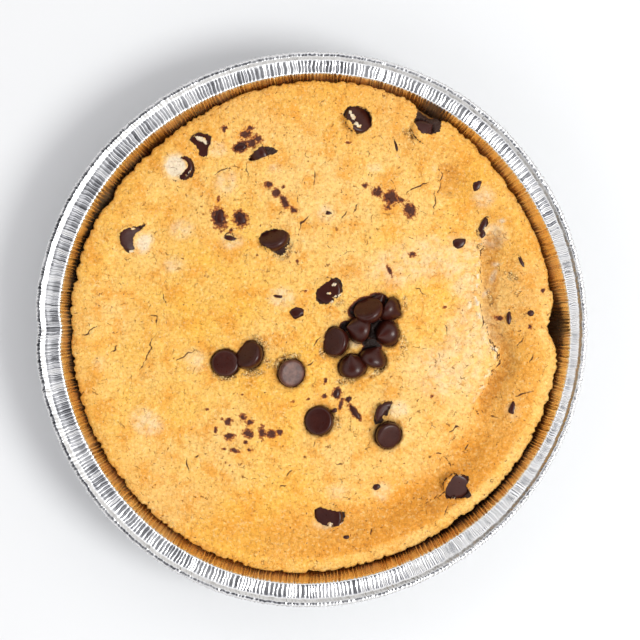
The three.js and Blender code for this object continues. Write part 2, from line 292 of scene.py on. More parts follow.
def sheet_stations():
    """Radius, height, wall pleat, flange pleat of each ring, and if it turns with the rim."""
    rows = [(30.0, FLOOR_LEVEL, 0, 0, False), (FLOOR_RADIUS, FLOOR_LEVEL, 0, 0, False),
            (85.0, 0.5, 0.1, 0, False), (85.7, 1.4, 0.25, 0, False),
            (CORNER_RADIUS, CORNER_HEIGHT, 0.5, 0, False)]
    for up in np.linspace(0, 1, WALL_STEPS + 1)[1:]:
        rows.append((None, CORNER_HEIGHT + (WALL_TOP_HEIGHT - CORNER_HEIGHT) * up,
                     0.5 + 0.5 * min(up * 1.6, 1), 0, False))
    rows += [(100.05, 29.6, 0.5, 0.1, True), (FLANGE_START, FLANGE_HEIGHT, 0.2, 0.5, True)]
    for out in np.linspace(0, 1, FLANGE_STEPS + 1)[1:]:
        rise = 0.05 * out + 0.45 * float(smoothstep(out, 0.45, 0.9))
        rows.append((FLANGE_START + (FLANGE_END - FLANGE_START) * out, FLANGE_HEIGHT + rise,
                     0, 1.0 if out < 0.8 else 0.6, True))
    for turn, sideways, pleat in BEAD_TURNS:
        a = math.radians(turn)
        squared = math.copysign(abs(math.sin(a)) ** 0.45, turn)
        rows.append((BEAD_CENTRE + (BEAD_RADIUS - BEAD_SHEET) * math.cos(a),
                     FLANGE_HEIGHT + BEAD_LIFT + (BEAD_RADIUS - BEAD_SHEET) * squared,
                     sideways, pleat, True))
    return rows


stations = sheet_stations()
print("the sheet's line has", len(stations), "points")

# %% Pleats of uneven width and depth
FLANGE_DEPTHS = [(0, 40, 0.85), (315, 30, 1.15), (168, 45, 0.05)]
TILTED_AT = [(175, 60, 0.5)]  # where the flat rim slopes more

pleat_width = 1 + 0.3 * rng.standard_normal(PLEATS).clip(-1.6, 1.9)
pleat_edge = np.concatenate([[0], np.cumsum(pleat_width)])
pleat_edge *= 2 * math.pi / pleat_edge[-1]
wall_depth = (1 + 0.45 * rng.standard_normal(PLEATS)).clip(0.2, 2.2)
flange_depth = (1 + 0.22 * rng.standard_normal(PLEATS)).clip(0.3, 2.0)
share_in_pleat = np.arange(COLUMNS_PER_PLEAT) / COLUMNS_PER_PLEAT
angles = (pleat_edge[:-1, None]
          + (pleat_edge[1:] - pleat_edge[:-1])[:, None] * share_in_pleat[None, :]).ravel()
ridge = np.tile(np.sin(2 * math.pi * share_in_pleat + 0.3), PLEATS)
wall_ridge = ridge * np.repeat(wall_depth, COLUMNS_PER_PLEAT)
flange_ridge = ridge * np.repeat(flange_depth, COLUMNS_PER_PLEAT) * (0.68 + bumps(angles, FLANGE_DEPTHS))
rim_tilt = 0.45 + bumps(angles, TILTED_AT)
print("pleats:", PLEATS, "every", round(2 * math.pi * WALL_TOP_RADIUS / PLEATS, 2), "mm")

# %% Crumples, dents and nicks of the rim
around = np.stack([np.cos(angles), np.sin(angles)], axis=1)
flat_ring = np.zeros(len(angles))
crumple = rough(np.c_[around * 14, flat_ring], 1.0, 2, 3.1)
crumple_fine = rough(np.c_[around * 40, flat_ring], 1.0, 2, 9.4)
bead_dents = rough(np.c_[around * 36, flat_ring], 1.0, 2, 14.2)
bead_nicks = rough(np.c_[around * 90, flat_ring], 1.0, 2, 21.7)
CREASE_WIDTH = 2.2  # of the fold at the dent, in degrees
from_dent = np.abs((np.degrees(angles) - DENT_AT + 180) % 360 - 180)
crease = np.maximum(0, 1 - from_dent / CREASE_WIDTH)
print("deepest crumple", round(float(crumple.min()), 2), "highest", round(float(crumple.max()), 2))

# %% Sweep the sheet round
rim_shift = wall_radius(angles, WALL_TOP_HEIGHT) - WALL_TOP_RADIUS
wider = swing(angles, FLANGE_WAVES)
bend = math.radians(BEND_UP) * bump_at(angles, BEND_AT, BEND_WIDTH)
rings = []
columns = len(angles)
for radius, height, wall, flange, on_rim in stations:
    if radius is None:
        radius = wall_radius(angles, height)
    radius = np.broadcast_to(np.asarray(radius, float), angles.shape).copy()
    level = np.full_like(radius, height)
    if on_rim:
        share = np.clip((radius - FLANGE_START) / (FLANGE_END - FLANGE_START), 0, 1)
        out = radius - FLANGE_START + wider * share + 0.12 * crumple * share
        up = (level - FLANGE_HEIGHT) * (rim_tilt if share.max() < 1 else 1)
        up = up + 0.18 * bead_dents * (share >= 1)
        out = out + 0.26 * bead_nicks * (share >= 1)
        radius = FLANGE_START + rim_shift + out * np.cos(bend) - up * np.sin(bend)
        level = FLANGE_HEIGHT + out * np.sin(bend) + up * np.cos(bend)
        level += (0.12 * crumple + 0.03 * crumple_fine) * share - 0.7 * crease * share
    lean = 0.89 if wall and not flange else 0.3
    radius = radius - lean * wall * WALL_PLEAT * wall_ridge
    level = level + flange * FLANGE_PLEAT * flange_ridge + (1 - lean) * wall * 0.06 * wall_ridge
    if height > CORNER_HEIGHT and not on_rim:
        wrinkle = rough(np.c_[around * 45, np.full(columns, height * 0.35)], 1.0, 2, 6.0)
        radius = radius - (0.12 * crumple_fine + 0.2 * wrinkle) * (height / WALL_TOP_HEIGHT)
    far = float(np.mean(radius)) * 0.45 if on_rim or height > CORNER_HEIGHT else 0.0
    sway = PLEAT_SWAY * rough(np.c_[around * 22, np.full(columns, far)], 1.0, 2, 27.3) / radius
    swayed = np.stack([np.cos(angles + sway), np.sin(angles + sway)], axis=1)
    rings.append(np.c_[radius[:, None] * swayed, level])
print(len(rings), "rings of", columns, "points")

# %% Join the rings
pan_points = np.concatenate(rings + [np.array([[0, 0, FLOOR_LEVEL]])])
step = np.arange(columns)
after = (step + 1) % columns
pan_faces = []
for ring in range(len(rings) - 1):
    low, high = ring * columns, (ring + 1) * columns
    pan_faces += np.c_[low + step, high + step, high + after, low + after].tolist()
middle = len(pan_points) - 1
pan_faces += [(middle, int(a), int(b)) for a, b in zip(step, after)]
print(len(pan_faces), "faces of foil")

# %% [markdown]
# The foil is bare rolled aluminium: a metal, almost white, with a soft mirror finish. Its
# roughness changes a little from place to place where the press rubbed it. The brown band
# that shows between the rim and the cookie isn't a piece: it is the cookie's own side,
# mirrored in the pleated wall, darkened further by painted shade, a brown tint on the metal's
# inner side only. The surface's normal tells the sides apart, because it points to the
# pan's middle on the inside. Where the foil is folded onto itself no light gets in, so the
# deep folds are darkened by painted shade from a field that is kept on the mesh.

# %% Aluminium foil
RUBBED_PATCH, ROLLED_GRAIN = 11.111, 1.4286  # sizes in mm
WALL_SHADE_TOP, WALL_SHADE_FULL = 29.2, 28.2  # heights where the painted shade on the wall starts, and where it is full
INSIDE_REACH = 0.02

foil = bpy.data.materials.new("aluminium foil")
foil.use_nodes = True
tree = foil.node_tree
shader = tree.nodes["Principled BSDF"]
place = add_node(tree, "ShaderNodeTexCoord").outputs["Object"]
rubbed = add_node(tree, "ShaderNodeTexNoise", Vector=place, Scale=per_metre(RUBBED_PATCH), Detail=3.0)
wear = add_node(tree, "ShaderNodeMapRange", Value=rubbed.outputs["Fac"], **{
    "From Min": 0.35, "From Max": 0.65, "To Min": 0.2, "To Max": 0.34})
tree.links.new(wear.outputs["Result"], shader.inputs["Roughness"])
shader.inputs["Metallic"].default_value = 1.0
grain = add_node(tree, "ShaderNodeTexNoise", Vector=place, Scale=per_metre(ROLLED_GRAIN), Detail=2.0)
dimple = add_node(tree, "ShaderNodeBump", Height=grain.outputs["Fac"], Strength=0.15, Distance=0.2 * MM)
tree.links.new(dimple.outputs["Normal"], shader.inputs["Normal"])
print("foil roughness", wear.inputs["To Min"].default_value, "to", wear.inputs["To Max"].default_value)

# %% Painted shade on the inner side
apart = add_node(tree, "ShaderNodeSeparateXYZ", Vector=place)
low_down = add_node(tree, "ShaderNodeMapRange", Value=apart.outputs["Z"], **{
    "From Min": WALL_SHADE_TOP * MM, "From Max": WALL_SHADE_FULL * MM, "To Min": 0.0, "To Max": 0.8})
surface = add_node(tree, "ShaderNodeNewGeometry")
outward = add_node(tree, "ShaderNodeVectorMath", operation="DOT_PRODUCT",
                   i0=surface.outputs["Normal"], i1=surface.outputs["Position"])
inside = add_node(tree, "ShaderNodeMapRange", Value=outward.outputs["Value"], **{
    "From Min": 0.0, "From Max": -INSIDE_REACH, "To Min": 0.0, "To Max": 1.0})
wall_shade_mask = add_node(tree, "ShaderNodeMath", operation="MULTIPLY",
                    i0=low_down.outputs["Result"], i1=inside.outputs["Result"])
# Painted shade: a brown tint on the inner wall darkens the mirrored band, most at the lower right.
thick = add_node(tree, "ShaderNodeAttribute", attribute_name="wall_shade")
wall_shade = add_node(tree, "ShaderNodeMix", data_type="RGBA", i0=thick.outputs["Fac"],
                  i6=linear("#E8CFA6"), i7=linear("#CB9A60"))
wall_shade_tinted = add_node(tree, "ShaderNodeMix", data_type="RGBA", i0=wall_shade_mask.outputs[0],
                  i6=linear("#F1F2F4"), i7=wall_shade.outputs[2])
# Painted shade: the deep folds, where no light gets in, are darkened by a field kept on the mesh.
fold_shade = add_node(tree, "ShaderNodeAttribute", attribute_name="fold_shade")
fold_shaded = add_node(tree, "ShaderNodeMix", data_type="RGBA", i0=fold_shade.outputs["Fac"],
                  i6=wall_shade_tinted.outputs[2], i7=linear("#55575B"))
tree.links.new(fold_shaded.outputs[2], shader.inputs["Base Color"])

pan = add_mesh("foil_pan_pleated", pan_points, pan_faces, foil)
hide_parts("foil_pan")

# %% Painted shade in the folds: the pleats' valleys, the rolled edge's foot and its dents
FOOT_SHADE = [(-10, 60, 0.3), (165, 40, -0.25)]
VALLEY_SHADE = [(165, 50, 0.55)]
DENT_SHADE = [(172, 62, 0.8)]
WALL_SHADE_AT, WALL_SHADE_WIDTH = 305, 36  # the painted shade on the wall is darkest at the lower right

lip = stations.index(next(row for row in stations if row[4]))
foot = stations.index(next(row for row in stations if row[0] is not None and row[0] >= FLANGE_END))
foot_shade = 0.3 + bumps(angles, FOOT_SHADE)
valley_shade = (0.1 + bumps(angles, VALLEY_SHADE)) * (ridge < -0.5)
valley_shade *= np.repeat(rng.uniform(0.4, 1.3, PLEATS), COLUMNS_PER_PLEAT)
dent_shade = (0.12 + bumps(angles, DENT_SHADE)) * (ridge < 0.4)
dent_shade *= np.repeat(rng.uniform(0.3, 1.3, PLEATS), COLUMNS_PER_PLEAT)
fold_shade_field = np.zeros(len(pan_points))
for ring in range(lip, foot + 6):
    shade_there = valley_shade if ring < foot else foot_shade if ring < foot + 2 else dent_shade
    fold_shade_field[ring * columns:(ring + 1) * columns] = shade_there
keep_field(pan, "fold_shade", fold_shade_field)
keep_field(pan, "wall_shade", np.r_[np.tile(bump_at(angles, WALL_SHADE_AT, WALL_SHADE_WIDTH), len(rings)), 0])
print("darkest fold", round(float(fold_shade_field.max()), 2))

# %% [markdown]
# ## The shape of the cookie's top
# The dough was pressed into the pan by hand, so the top is a low dome with a sunk ring
# inside a raised shoulder, and the shoulder rounds down to a ragged edge. The values are
# those of the solid, but the top stays up longer and turns over more sharply at the edge,
# as the real crust does.

# %% Sizes of the cookie
COOKIE_BASE = 0.7
SIDE_GAP = 0.97  # between the cookie's side and the pan's middle line
COOKIE_REACH = 95  # where the top's waves are measured from its middle
EDGE_HEIGHT = 23.7
PLATEAU, CROWN, SHOULDER = 25.9, 2.3, 0.8
TROUGH, TROUGH_DEEP, TROUGH_AT = 0.5, 1.2, -45
EDGE_DROP, EDGE_TURN = 1.5, 0.925  # how far the edge turns down, and the share where it starts
EDGE_WAVES = [(1, 0.5, 57), (2, 0.9, 143), (3, 0.8, -91), (4, 0.7, -58), (7, 0.25, 30)]
NOTCHES = [(0, 4.5, 1.9), (148, 2.2, 1.3), (307, 1.6, 0.9), (62, 3.0, 1.0)]  # azimuth, width, depth


def edge_height(angle):
    return EDGE_HEIGHT + swing(angle, EDGE_WAVES)


def cookie_side(angle, height):
    near = wall_radius(angle, height) - SIDE_GAP
    return near - bumps(angle, NOTCHES) * smoothstep(height / edge_height(angle), 10 / EDGE_HEIGHT, 1)


def cookie_top(angle, share):
    x = COOKIE_REACH * share * np.cos(angle)
    y = COOKIE_REACH * share * np.sin(angle)
    swell = (0.3 * np.sin(x / 17 + 1.3) * np.cos(y / 21 - 0.4)
             + 0.2 * np.sin(x / 9 - y / 12 + 0.7))
    trough = TROUGH + TROUGH_DEEP * bump_at(angle, TROUGH_AT, 42)
    down = np.maximum(share - EDGE_TURN, 0) / (1 - EDGE_TURN)
    return (PLATEAU + CROWN * (1 - smoothstep(share, 0.2, 0.82)) + swell * (1 - share ** 6)
            - trough * np.exp(-(((share - 0.79) / 0.1) ** 2))
            + SHOULDER * np.exp(-(((share - 0.905) / 0.05) ** 2))
            + (edge_height(angle) - EDGE_HEIGHT) * smoothstep(share, 0.6, 1)
            - EDGE_DROP * down ** 6)


def level_at(x, y):
    angle = np.arctan2(y, x)
    share = np.minimum(np.hypot(x, y) / cookie_side(angle, edge_height(angle)), 1)
    return cookie_top(angle, share)


print("top at the middle", round(float(level_at(0, 0)), 1), "mm, at the left edge",
      round(float(level_at(-97, 0)), 1), "mm")

# %% [markdown]
# ## Where the chocolate is
# Each chip is named for its place. The numbers are its place in the plan, how far its
# middle is above the top, its size, how far its tip leans from straight up, and which way.
# A chip pressed in upside down leans 180 degrees and shows its flat base.

# %% Chips
CHIP_RADIUS, CHIP_HEIGHT = 5.5, 7.6
CHIPS = {
    "chip_row_left": (-34.5, -13.3, -1.2, 0.97, 176, 200),
    "chip_row_middle": (-24.1, -10.6, 0.2, 1.05, 136, -35),
    "chip_row_right": (-8.8, -16.9, -0.4, 0.97, 157, 160),
    "chip_heap_top": (22.4, 6.6, 1.5, 1.08, 132, -68),
    "chip_heap_flat": (9.9, -5.0, 0.2, 1.04, 140, -8),
    "chip_heap_point": (15.5, -13.7, 1.3, 1.0, 50, 104),
    "chip_heap_lying": (17.6, 0.5, 1.7, 1.02, 62, 165),
    "chip_heap_low": (24.1, -10.6, 0.6, 0.97, 74, 70),
    "chip_heap_side": (28.6, -1.8, 0.7, 0.94, 40, 200),
    "chip_heap_right": (31.0, 7.4, -0.4, 0.9, 80, -30),
    "chip_heap_back": (26.0, 11.8, -3.2, 0.92, 30, 60),
    "chip_heap_buried": (16.4, 7.4, -3.9, 0.9, 25, 150),
    "chip_pair_upper": (2.9, -36.0, -0.9, 1.03, 166, -8),
    "chip_pair_lower": (29.4, -41.2, 0.6, 0.95, 150, 136),
    "chip_pair_broken": (29.6, -33.4, -1.0, 0.98, 168, 140),
    "chip_middle_big": (-14.9, 35.0, -1.6, 1.1, 134, -72),
    "chip_middle_oblong": (6.1, 15.6, -2.4, 1.0, 168, 25),
    "chip_far_top": (17.4, 82.6, -2.3, 1.06, 150, 210),
    "chip_edge_right": (43.6, 78.6, -1.6, 0.95, 60, 35),
    "chip_low_right": (56.6, -61.6, -2.2, 1.0, 160, 115),
    "chip_low_middle": (6.6, -74.2, -2.5, 1.1, 163, 8),
    "chip_left_upper": (-72.0, 36.3, -2.4, 1.0, 165, 175),
    "chip_cream_left": (-52.7, 64.1, -2.7, 1.06, 172, 20),
    "chip_cream_right": (-43.7, 73.1, -2.9, 1.0, 168, 80),
    "chip_smeared": (-21.4, 69.0, -3.0, 1.0, 84, 205),
}
print(len(CHIPS), "chips named")

# %% [markdown]
# ## The shape of a chip
# A baking chip is a drop of chocolate set on a cold belt: a flat round base, a full
# shoulder and a tip drawn a little to one side. In the oven it softens without losing its
# shape. Each one is a turned profile with its tip bent and its surface slightly uneven.
# The broken one is cut through, and only its left part is kept.

# %% Turn the drops
CHIP_STEPS = 40
TIP_BEND = 0.55
CHIP_MIDDLE = 0.38  # share of the height that a chip turns about
CHIP_PROFILE = [  # share of the radius and of the height, from the base to the tip
    (0.5, 0.0), (0.8, 0.0), (0.9, 0.012), (0.955, 0.05), (0.99, 0.11), (1.0, 0.19),
    (0.985, 0.28), (0.94, 0.38), (0.86, 0.48), (0.74, 0.58), (0.6, 0.67), (0.46, 0.75),
    (0.33, 0.82), (0.22, 0.88), (0.13, 0.94), (0.06, 0.98),
]


def drop(size, seed):
    """Points and faces of one chip, standing on its base, its middle at the origin."""
    turn = np.arange(CHIP_STEPS) / CHIP_STEPS * 2 * math.pi
    points, faces = [], []
    for out, up in CHIP_PROFILE:
        wide = out * CHIP_RADIUS * size * (1 + 0.015 * np.sin(2 * turn + seed))
        bend = TIP_BEND * size * max(up - 0.6, 0) ** 1.5 * 4
        z = (up - CHIP_MIDDLE) * CHIP_HEIGHT * size
        points.append(np.c_[wide * np.cos(turn) + bend * math.cos(seed),
                            wide * np.sin(turn) + bend * math.sin(seed), np.full_like(turn, z)])
    rings = len(points)
    bend = TIP_BEND * size * 0.4 ** 1.5 * 4
    ends = np.array([[0, 0, -CHIP_MIDDLE * CHIP_HEIGHT * size],
                     [bend * math.cos(seed), bend * math.sin(seed), (1 - CHIP_MIDDLE) * CHIP_HEIGHT * size]])
    for ring in range(rings - 1):
        for s in range(CHIP_STEPS):
            n = (s + 1) % CHIP_STEPS
            faces.append((ring * CHIP_STEPS + s, ring * CHIP_STEPS + n,
                          (ring + 1) * CHIP_STEPS + n, (ring + 1) * CHIP_STEPS + s))
    low = rings * CHIP_STEPS
    for s in range(CHIP_STEPS):
        n = (s + 1) % CHIP_STEPS
        faces.append((low, n, s))
        faces.append(((rings - 1) * CHIP_STEPS + s, (rings - 1) * CHIP_STEPS + n, low + 1))
    return np.concatenate(points + [ends]), faces


def cut_away(points, faces, through, toward):
    """Keep the part of a closed shape that lies against the direction toward, and close it."""
    work = bmesh.new()
    made = [work.verts.new(p) for p in points]
    for face in faces:
        work.faces.new([made[i] for i in face])
    result = bmesh.ops.bisect_plane(work, geom=list(work.verts) + list(work.edges) + list(work.faces),
                                    plane_co=through, plane_no=toward, clear_outer=True)
    cut_edges = [g for g in result["geom_cut"] if isinstance(g, bmesh.types.BMEdge)]
    bmesh.ops.holes_fill(work, edges=cut_edges)
    work.verts.ensure_lookup_table()
    work.verts.index_update()
    kept = np.array([list(v.co) for v in work.verts])
    shape = kept, [tuple(v.index for v in f.verts) for f in work.faces]
    work.free()
    return shape


print("a drop has", len(CHIP_PROFILE) * CHIP_STEPS + 2, "points")

# %% Set the drops in the dough
BREAK_AT = (29.3, -31.6)  # the broken chip's cut: a point on it, and which side is gone
BREAK_TOWARD = (0.78, -0.62, 0)
chip_shapes = {}
for number, (name, (x, y, lift, size, lean, heading)) in enumerate(CHIPS.items()):
    points, faces = drop(size, number * 2.4)
    wobble = 1 + 0.02 * rough(points + number * 20, 4.0, 2, 1.0)
    tilt = Matrix.Rotation(math.radians(heading), 3, "Z") @ Matrix.Rotation(math.radians(lean), 3, "Y")
    points = (points * wobble[:, None]) @ np.array(tilt).T
    points = points + [x, y, float(level_at(x, y)) + lift]
    if name == "chip_pair_broken":
        points, faces = cut_away(points, faces, (*BREAK_AT, 0), BREAK_TOWARD)
    chip_shapes[name] = points, faces
print(len(chip_shapes), "chips turned")

# %% [markdown]
# ## What the oven left in the crust
# Under the skin lie more chips. Where one melted through, it leaves a dark stain with a
# red-brown rim. Where one comes close, the dough over it bakes paler. Each mark is an oval:
# place in the plan, length, width, direction, and how strong it is. They are the marks that
# the eye finds first, placed one by one. Everything finer comes from a pattern.

# %% Stains of melted chocolate
STAINS = [
    (-33.2, -36.3, 3.4, 2.8, 20, 1.0), (-27.4, -34.6, 3.0, 2.8, 0, 0.9),
    (-24.7, -36.6, 3.6, 2.2, 30, 0.9), (-25.4, -41.0, 3.4, 4.0, 60, 1.1),
    (-32.8, -42.2, 3.8, 3.0, 0, 1.1), (-19.9, -40.7, 5.2, 2.6, 90, 1.0),
    (-16.3, -41.2, 4.0, 3.2, 10, 1.1), (-12.9, -40.6, 2.6, 3.2, 0, 0.8),
    (-38.2, -39.7, 3.2, 1.6, 80, 0.6), (-35.5, -35.4, 1.9, 1.4, 0, 0.6),
    (-26.4, -44.4, 2.2, 1.6, 0, 0.7), (-34.9, -47.1, 2.4, 1.1, 0, 0.6),
    (-30.7, -47.8, 4.0, 2.2, -15, 0.6), (-24.7, -47.6, 2.9, 1.8, 0, 0.6),
    (-41.6, -31.4, 1.6, 1.4, 0, 0.7), (-27.6, -25.6, 1.3, 1.2, 0, 0.6),
    (-7.7, -28.4, 1.7, 1.4, 0, 0.6), (5.0, -20.4, 2.9, 1.7, 80, 0.55),
    (4.6, -26.2, 2.9, 2.3, 60, 0.5), (-1.8, -27.5, 1.6, 1.3, 0, 0.55),
    (-24.7, 79.5, 4.4, 1.7, 5, 0.8), (-26.4, 77.1, 4.6, 2.9, 10, 1.0),
    (-21.6, 75.4, 4.8, 3.2, -20, 0.75), (-24.1, 73.4, 3.8, 3.4, 0, 1.1),
    (-28.4, 72.2, 5.4, 3.8, 15, 1.25), (-34.9, 79.2, 2.9, 2.6, 45, 0.7),
    (-17.3, 57.1, 3.6, 2.6, -10, 0.95), (-14.3, 53.9, 3.2, 3.0, 0, 1.15),
    (-11.2, 50.5, 5.2, 3.0, 110, 1.15), (-7.5, 47.1, 3.2, 2.6, -40, 0.95),
    (-11.4, 56.2, 2.0, 1.6, 0, 0.6), (-36.9, 43.7, 8.0, 5.2, 105, 1.2),
    (-28.4, 43.7, 6.4, 5.2, 120, 1.15), (-37.2, 51.5, 2.8, 1.7, 90, 0.6),
    (-32.2, 39.0, 2.4, 1.8, 90, 0.65), (-6.2, 27.0, 1.9, 1.7, 0, 0.65),
    (-8.9, 26.7, 1.4, 1.2, 0, 0.6), (-2.8, 15.0, 1.6, 1.5, 0, 0.6),
    (20.8, 56.9, 3.0, 2.2, -20, 0.8), (25.7, 54.3, 4.4, 4.0, 0, 0.95),
    (30.9, 52.3, 6.0, 5.0, -20, 1.15), (29.4, 48.2, 3.2, 3.0, 0, 0.6),
    (38.4, 47.1, 6.0, 4.2, -60, 1.15), (34.8, 51.2, 3.4, 1.5, -25, 1.0),
    (14.0, 73.8, 2.8, 1.3, 0, 0.65), (39.4, 29.6, 3.6, 3.0, 0, 0.45),
    (73.8, 4.5, 4.4, 2.2, -10, 0.65), (85.8, 1.0, 2.4, 2.2, 0, 0.6),
    (91.0, 15.4, 2.3, 1.9, 0, 0.7), (52.0, 8.8, 1.9, 1.5, 0, 0.65),
    (47.0, -26.4, 1.7, 1.5, 0, 0.7), (30.3, 23.2, 5.2, 1.6, -66, 0.9),
    (9.6, -25.0, 4.4, 3.4, 70, 1.0), (11.2, -29.2, 5.6, 1.5, 72, 1.05),
    (16.6, -32.5, 7.6, 2.6, -52, 1.1), (14.0, -27.6, 2.8, 2.2, 30, 0.9),
    # Round the heap these near-black marks are melted chocolate and painted shade in the gaps between the
    # chips.
    (19.0, 8.8, 11, 6, 35, 2.0), (26.5, 11.6, 8, 5, -20, 2.0), (25.0, 0.0, 9, 9, 0, 2.0),
    (21.4, -8.6, 4, 5, 0, 1.9), (12.8, 1.2, 5, 4, 40, 1.9), (23.3, -5.9, 8, 4.5, -20, 2.0),
]
print(len(STAINS), "stains")

# %% Pale patches
PALE_PATCHES = [
    (-32.0, 34.8, 9, 6, 0, 0.8), (-52.0, 39.5, 10, 8, 0, 0.6), (-54.5, 25.5, 9, 6, 0, 0.7),
    (-34.2, 58.4, 9, 10, 0, 0.6), (-37.8, 71.2, 6, 8, 80, 0.8), (-66.8, 34.4, 9, 7, 70, 1.3),
    (-54.2, 64.4, 10, 10, 0, 1.5), (-15.0, 63.4, 6, 4, 0, 0.6), (-12.2, 12.8, 10, 8, 0, 0.8),
    (5.4, 45.8, 7, 7, 0, 0.7), (-46.0, -12.0, 9, 9, 0, 0.6), (-65.5, -36.5, 13, 10, -30, 0.8),
    (-84.0, -13.5, 6, 6, 0, 0.35), (4.2, -76.8, 8, 5, 0, 0.7), (27.5, -64.0, 8, 8, 30, 0.6),
    (10.2, -64.0, 9, 6, 0, 0.5), (33.8, -31.6, 8, 7, 0, 0.9), (8.0, -4.0, 7, 6, 0, 0.4),
    (67.6, 52.6, 9, 9, 0, 0.8), (71.5, 37.0, 11, 10, 0, 0.9), (46.5, 33.0, 10, 8, 20, 0.7),
    (30.0, 24.0, 9, 11, 0, 0.6), (60.5, 17.5, 14, 12, 0, 0.7), (55.0, 28.0, 26, 16, 20, 0.7),
    (38.0, 26.0, 34, 18, 15, 0.65), (62.0, -2.0, 22, 26, 0, 0.65), (54.0, -16.0, 30, 24, 0, 0.65),
    (24.4, 64.0, 6, 4, 0, 0.5), (71.6, 20.8, 2.4, 6.5, -20, 1.12), (68.6, 14.4, 2.2, 5, -40, 1.1),
    (62.0, 9.6, 1.6, 3.8, 0, 1.2), (72.6, 25.8, 3.6, 2.2, 0, 1.2), (74.8, 42.9, 3.2, 2, 0, 1.25),
    (61.6, -2.4, 2.6, 1.6, 60, 1.15), (78.9, -32.4, 6, 7, 0, 0.4), (16.3, -5.8, 4.5, 3.5, 0, 1.0),
]
print(len(PALE_PATCHES), "pale patches")

# %% [markdown]
# As the dough dries it cracks, and where the thick middle rose it broke down in ledges
# toward the sunk ring. A crack or a ledge is a line of a few points. Small turns are added
# to it later, because a crack never runs straight through a crumb.

# %% Cracks
CRACKS = [
    [(-61.2, -0.9), (-63.9, -4.9), (-64.2, -8.3), (-66.9, -13.0), (-69.3, -18.1)],
    [(-65.2, 5.6), (-61.5, 5.3), (-61.2, 0.5)], [(-55.4, -13.4), (-49.0, -9.0), (-44.0, -8.0)],
    [(-0.1, 47.8), (-1.8, 44.4), (-4.5, 40.4), (-6.5, 36.3)], [(0.6, 64.0), (0.9, 59.3), (-0.4, 55.9)],
    [(-25.7, 66.7), (-26.1, 59.3)], [(-30.5, 62.4), (-33.5, 63.8), (-36.2, 63.0), (-40.3, 59.9)],
    [(34.8, 51.7), (39.4, 55.6), (45.9, 58.2), (47.5, 61.4)], [(47.8, 56.9), (48.5, 51.0), (48.1, 44.5)],
    [(18.6, 50.4), (15.3, 44.5)], [(14.0, 47.1), (10.8, 42.6)], [(31.6, 76.2), (32.9, 72.8), (33.2, 70.6)],
    [(81.0, 30.9), (83.6, 25.0)], [(-3.1, -14.0), (-0.6, -13.6), (1.6, -11.7)],
    [(-13.3, -63.0), (-9.9, -61.3)], [(-10.6, -58.9), (-9.4, -56.6), (-7.2, -55.2)],
    [(8.5, -52.2), (12.6, -53.5)], [(-46.9, -50.6), (-44.8, -49.5)], [(-50.4, -50.1), (-48.4, -57.6)],
    [(46.8, -49.6), (49.6, -48.8), (52.1, -48.9)], [(51.4, -49.4), (53.4, -51.5), (54.4, -55.5)],
    [(51.4, -75.1), (54.8, -68.4)], [(23.4, -82.0), (23.2, -78.0)], [(1.0, -43.6), (0.2, -47.0)],
    [(67.6, -1.5), (71.7, -5.6), (74.0, -12.3), (72.3, -15.7), (69.3, -18.4)],
    [(77.7, -25.2), (81.0, -26.4), (85.0, -24.8), (88.5, -24.5)],
    [(64.9, -31.2), (66.3, -34.6)], [(75.0, -36.0), (70.0, -34.0)],
    [(61.0, -40.0), (57.0, -38.0), (53.0, -43.0)],
    [(80.0, -7.0), (84.0, -3.0)], [(67.0, 8.0), (67.6, 3.0), (66.2, -1.0)], [(62.0, -44.0), (60.0, -49.0)],
    [(66.0, 42.6), (69.0, 44.6), (71.6, 43.8)], [(64.6, 40.0), (65.2, 36.4)], [(66.0, 32.0), (66.6, 29.2)],
    [(-36.0, 36.0), (-32.6, 38.2), (-29.4, 36.0), (-28.4, 34.4)], [(-60.0, 15.0), (-57.0, 9.0)],
    [(0.6, -8.2), (1.8, -4.0), (4.2, -1.0)], [(-92.6, -4.0), (-84.0, 3.0)], [(-80.0, -10.0), (-77.0, -6.0)],
    [(40.0, 17.0), (46.0, 12.0)], [(52.0, 3.0), (54.0, -3.0)], [(86.0, -14.0), (87.0, -9.0)],
]
print(len(CRACKS), "long cracks")

# %% Dips and ledges
DIPS = [  # soft hollows in the top: place, length, width, direction, depth
    (54.0, 59.0, 17, 12, 70, 0.8), (71.0, 22.0, 34, 9, 100, 0.7), (82.5, 6.0, 44, 15, 92, -1.2),
    (82.0, -24.0, 26, 12, 75, -0.8), (80.0, 34.0, 18, 10, 112, -0.8), (70.0, -26.0, 26, 9, 80, 0.5),
    (61.0, -44.0, 22, 12, 60, 0.8), (38.0, -66.0, 26, 12, 25, 0.9),
    (16.0, -74.0, 14, 9, 10, 0.5), (36.0, 70.0, 12, 8, 100, 0.5), (-20.0, -78.0, 30, 9, -10, 0.4),
    (-66.0, -36.0, 16, 14, 0, -0.5), (60.0, 30.0, 14, 10, 0, -0.4), (-34.0, 58.0, 11, 10, 0, -0.5),
    (46.0, 20.0, 18, 14, 20, -0.5), (56.0, -66.0, 16, 12, 40, -0.4), (71.0, 38.0, 11, 9, 0, -0.5),
]
LEDGES = [  # lines where the top breaks down toward the sunk ring, from north to south, and how deep
    ([(72.5, 44.0), (68.0, 37.0), (66.0, 29.0), (66.4, 20.0), (65.6, 12.0), (67.4, 3.0), (69.0, -3.0),
      (73.4, -9.0), (74.0, -13.5), (69.6, -18.4), (66.0, -26.0), (60.0, -36.0)], 1.7),
    ([(49.0, 66.0), (50.6, 60.0), (48.6, 52.0)], 0.5),
    ([(61.0, -56.0), (52.0, -64.0), (42.0, -70.0)], 0.4),
]
print(len(DIPS), "dips,", len(LEDGES), "ledges")

# %% [markdown]
# Many chips lie half under the dough. What shows of such a chip is a window with an outline
# of its own, given here in millimetres about the window's middle. Scraps of pale dough
# still stick to some of them, and round a few the crust broke up into craters.

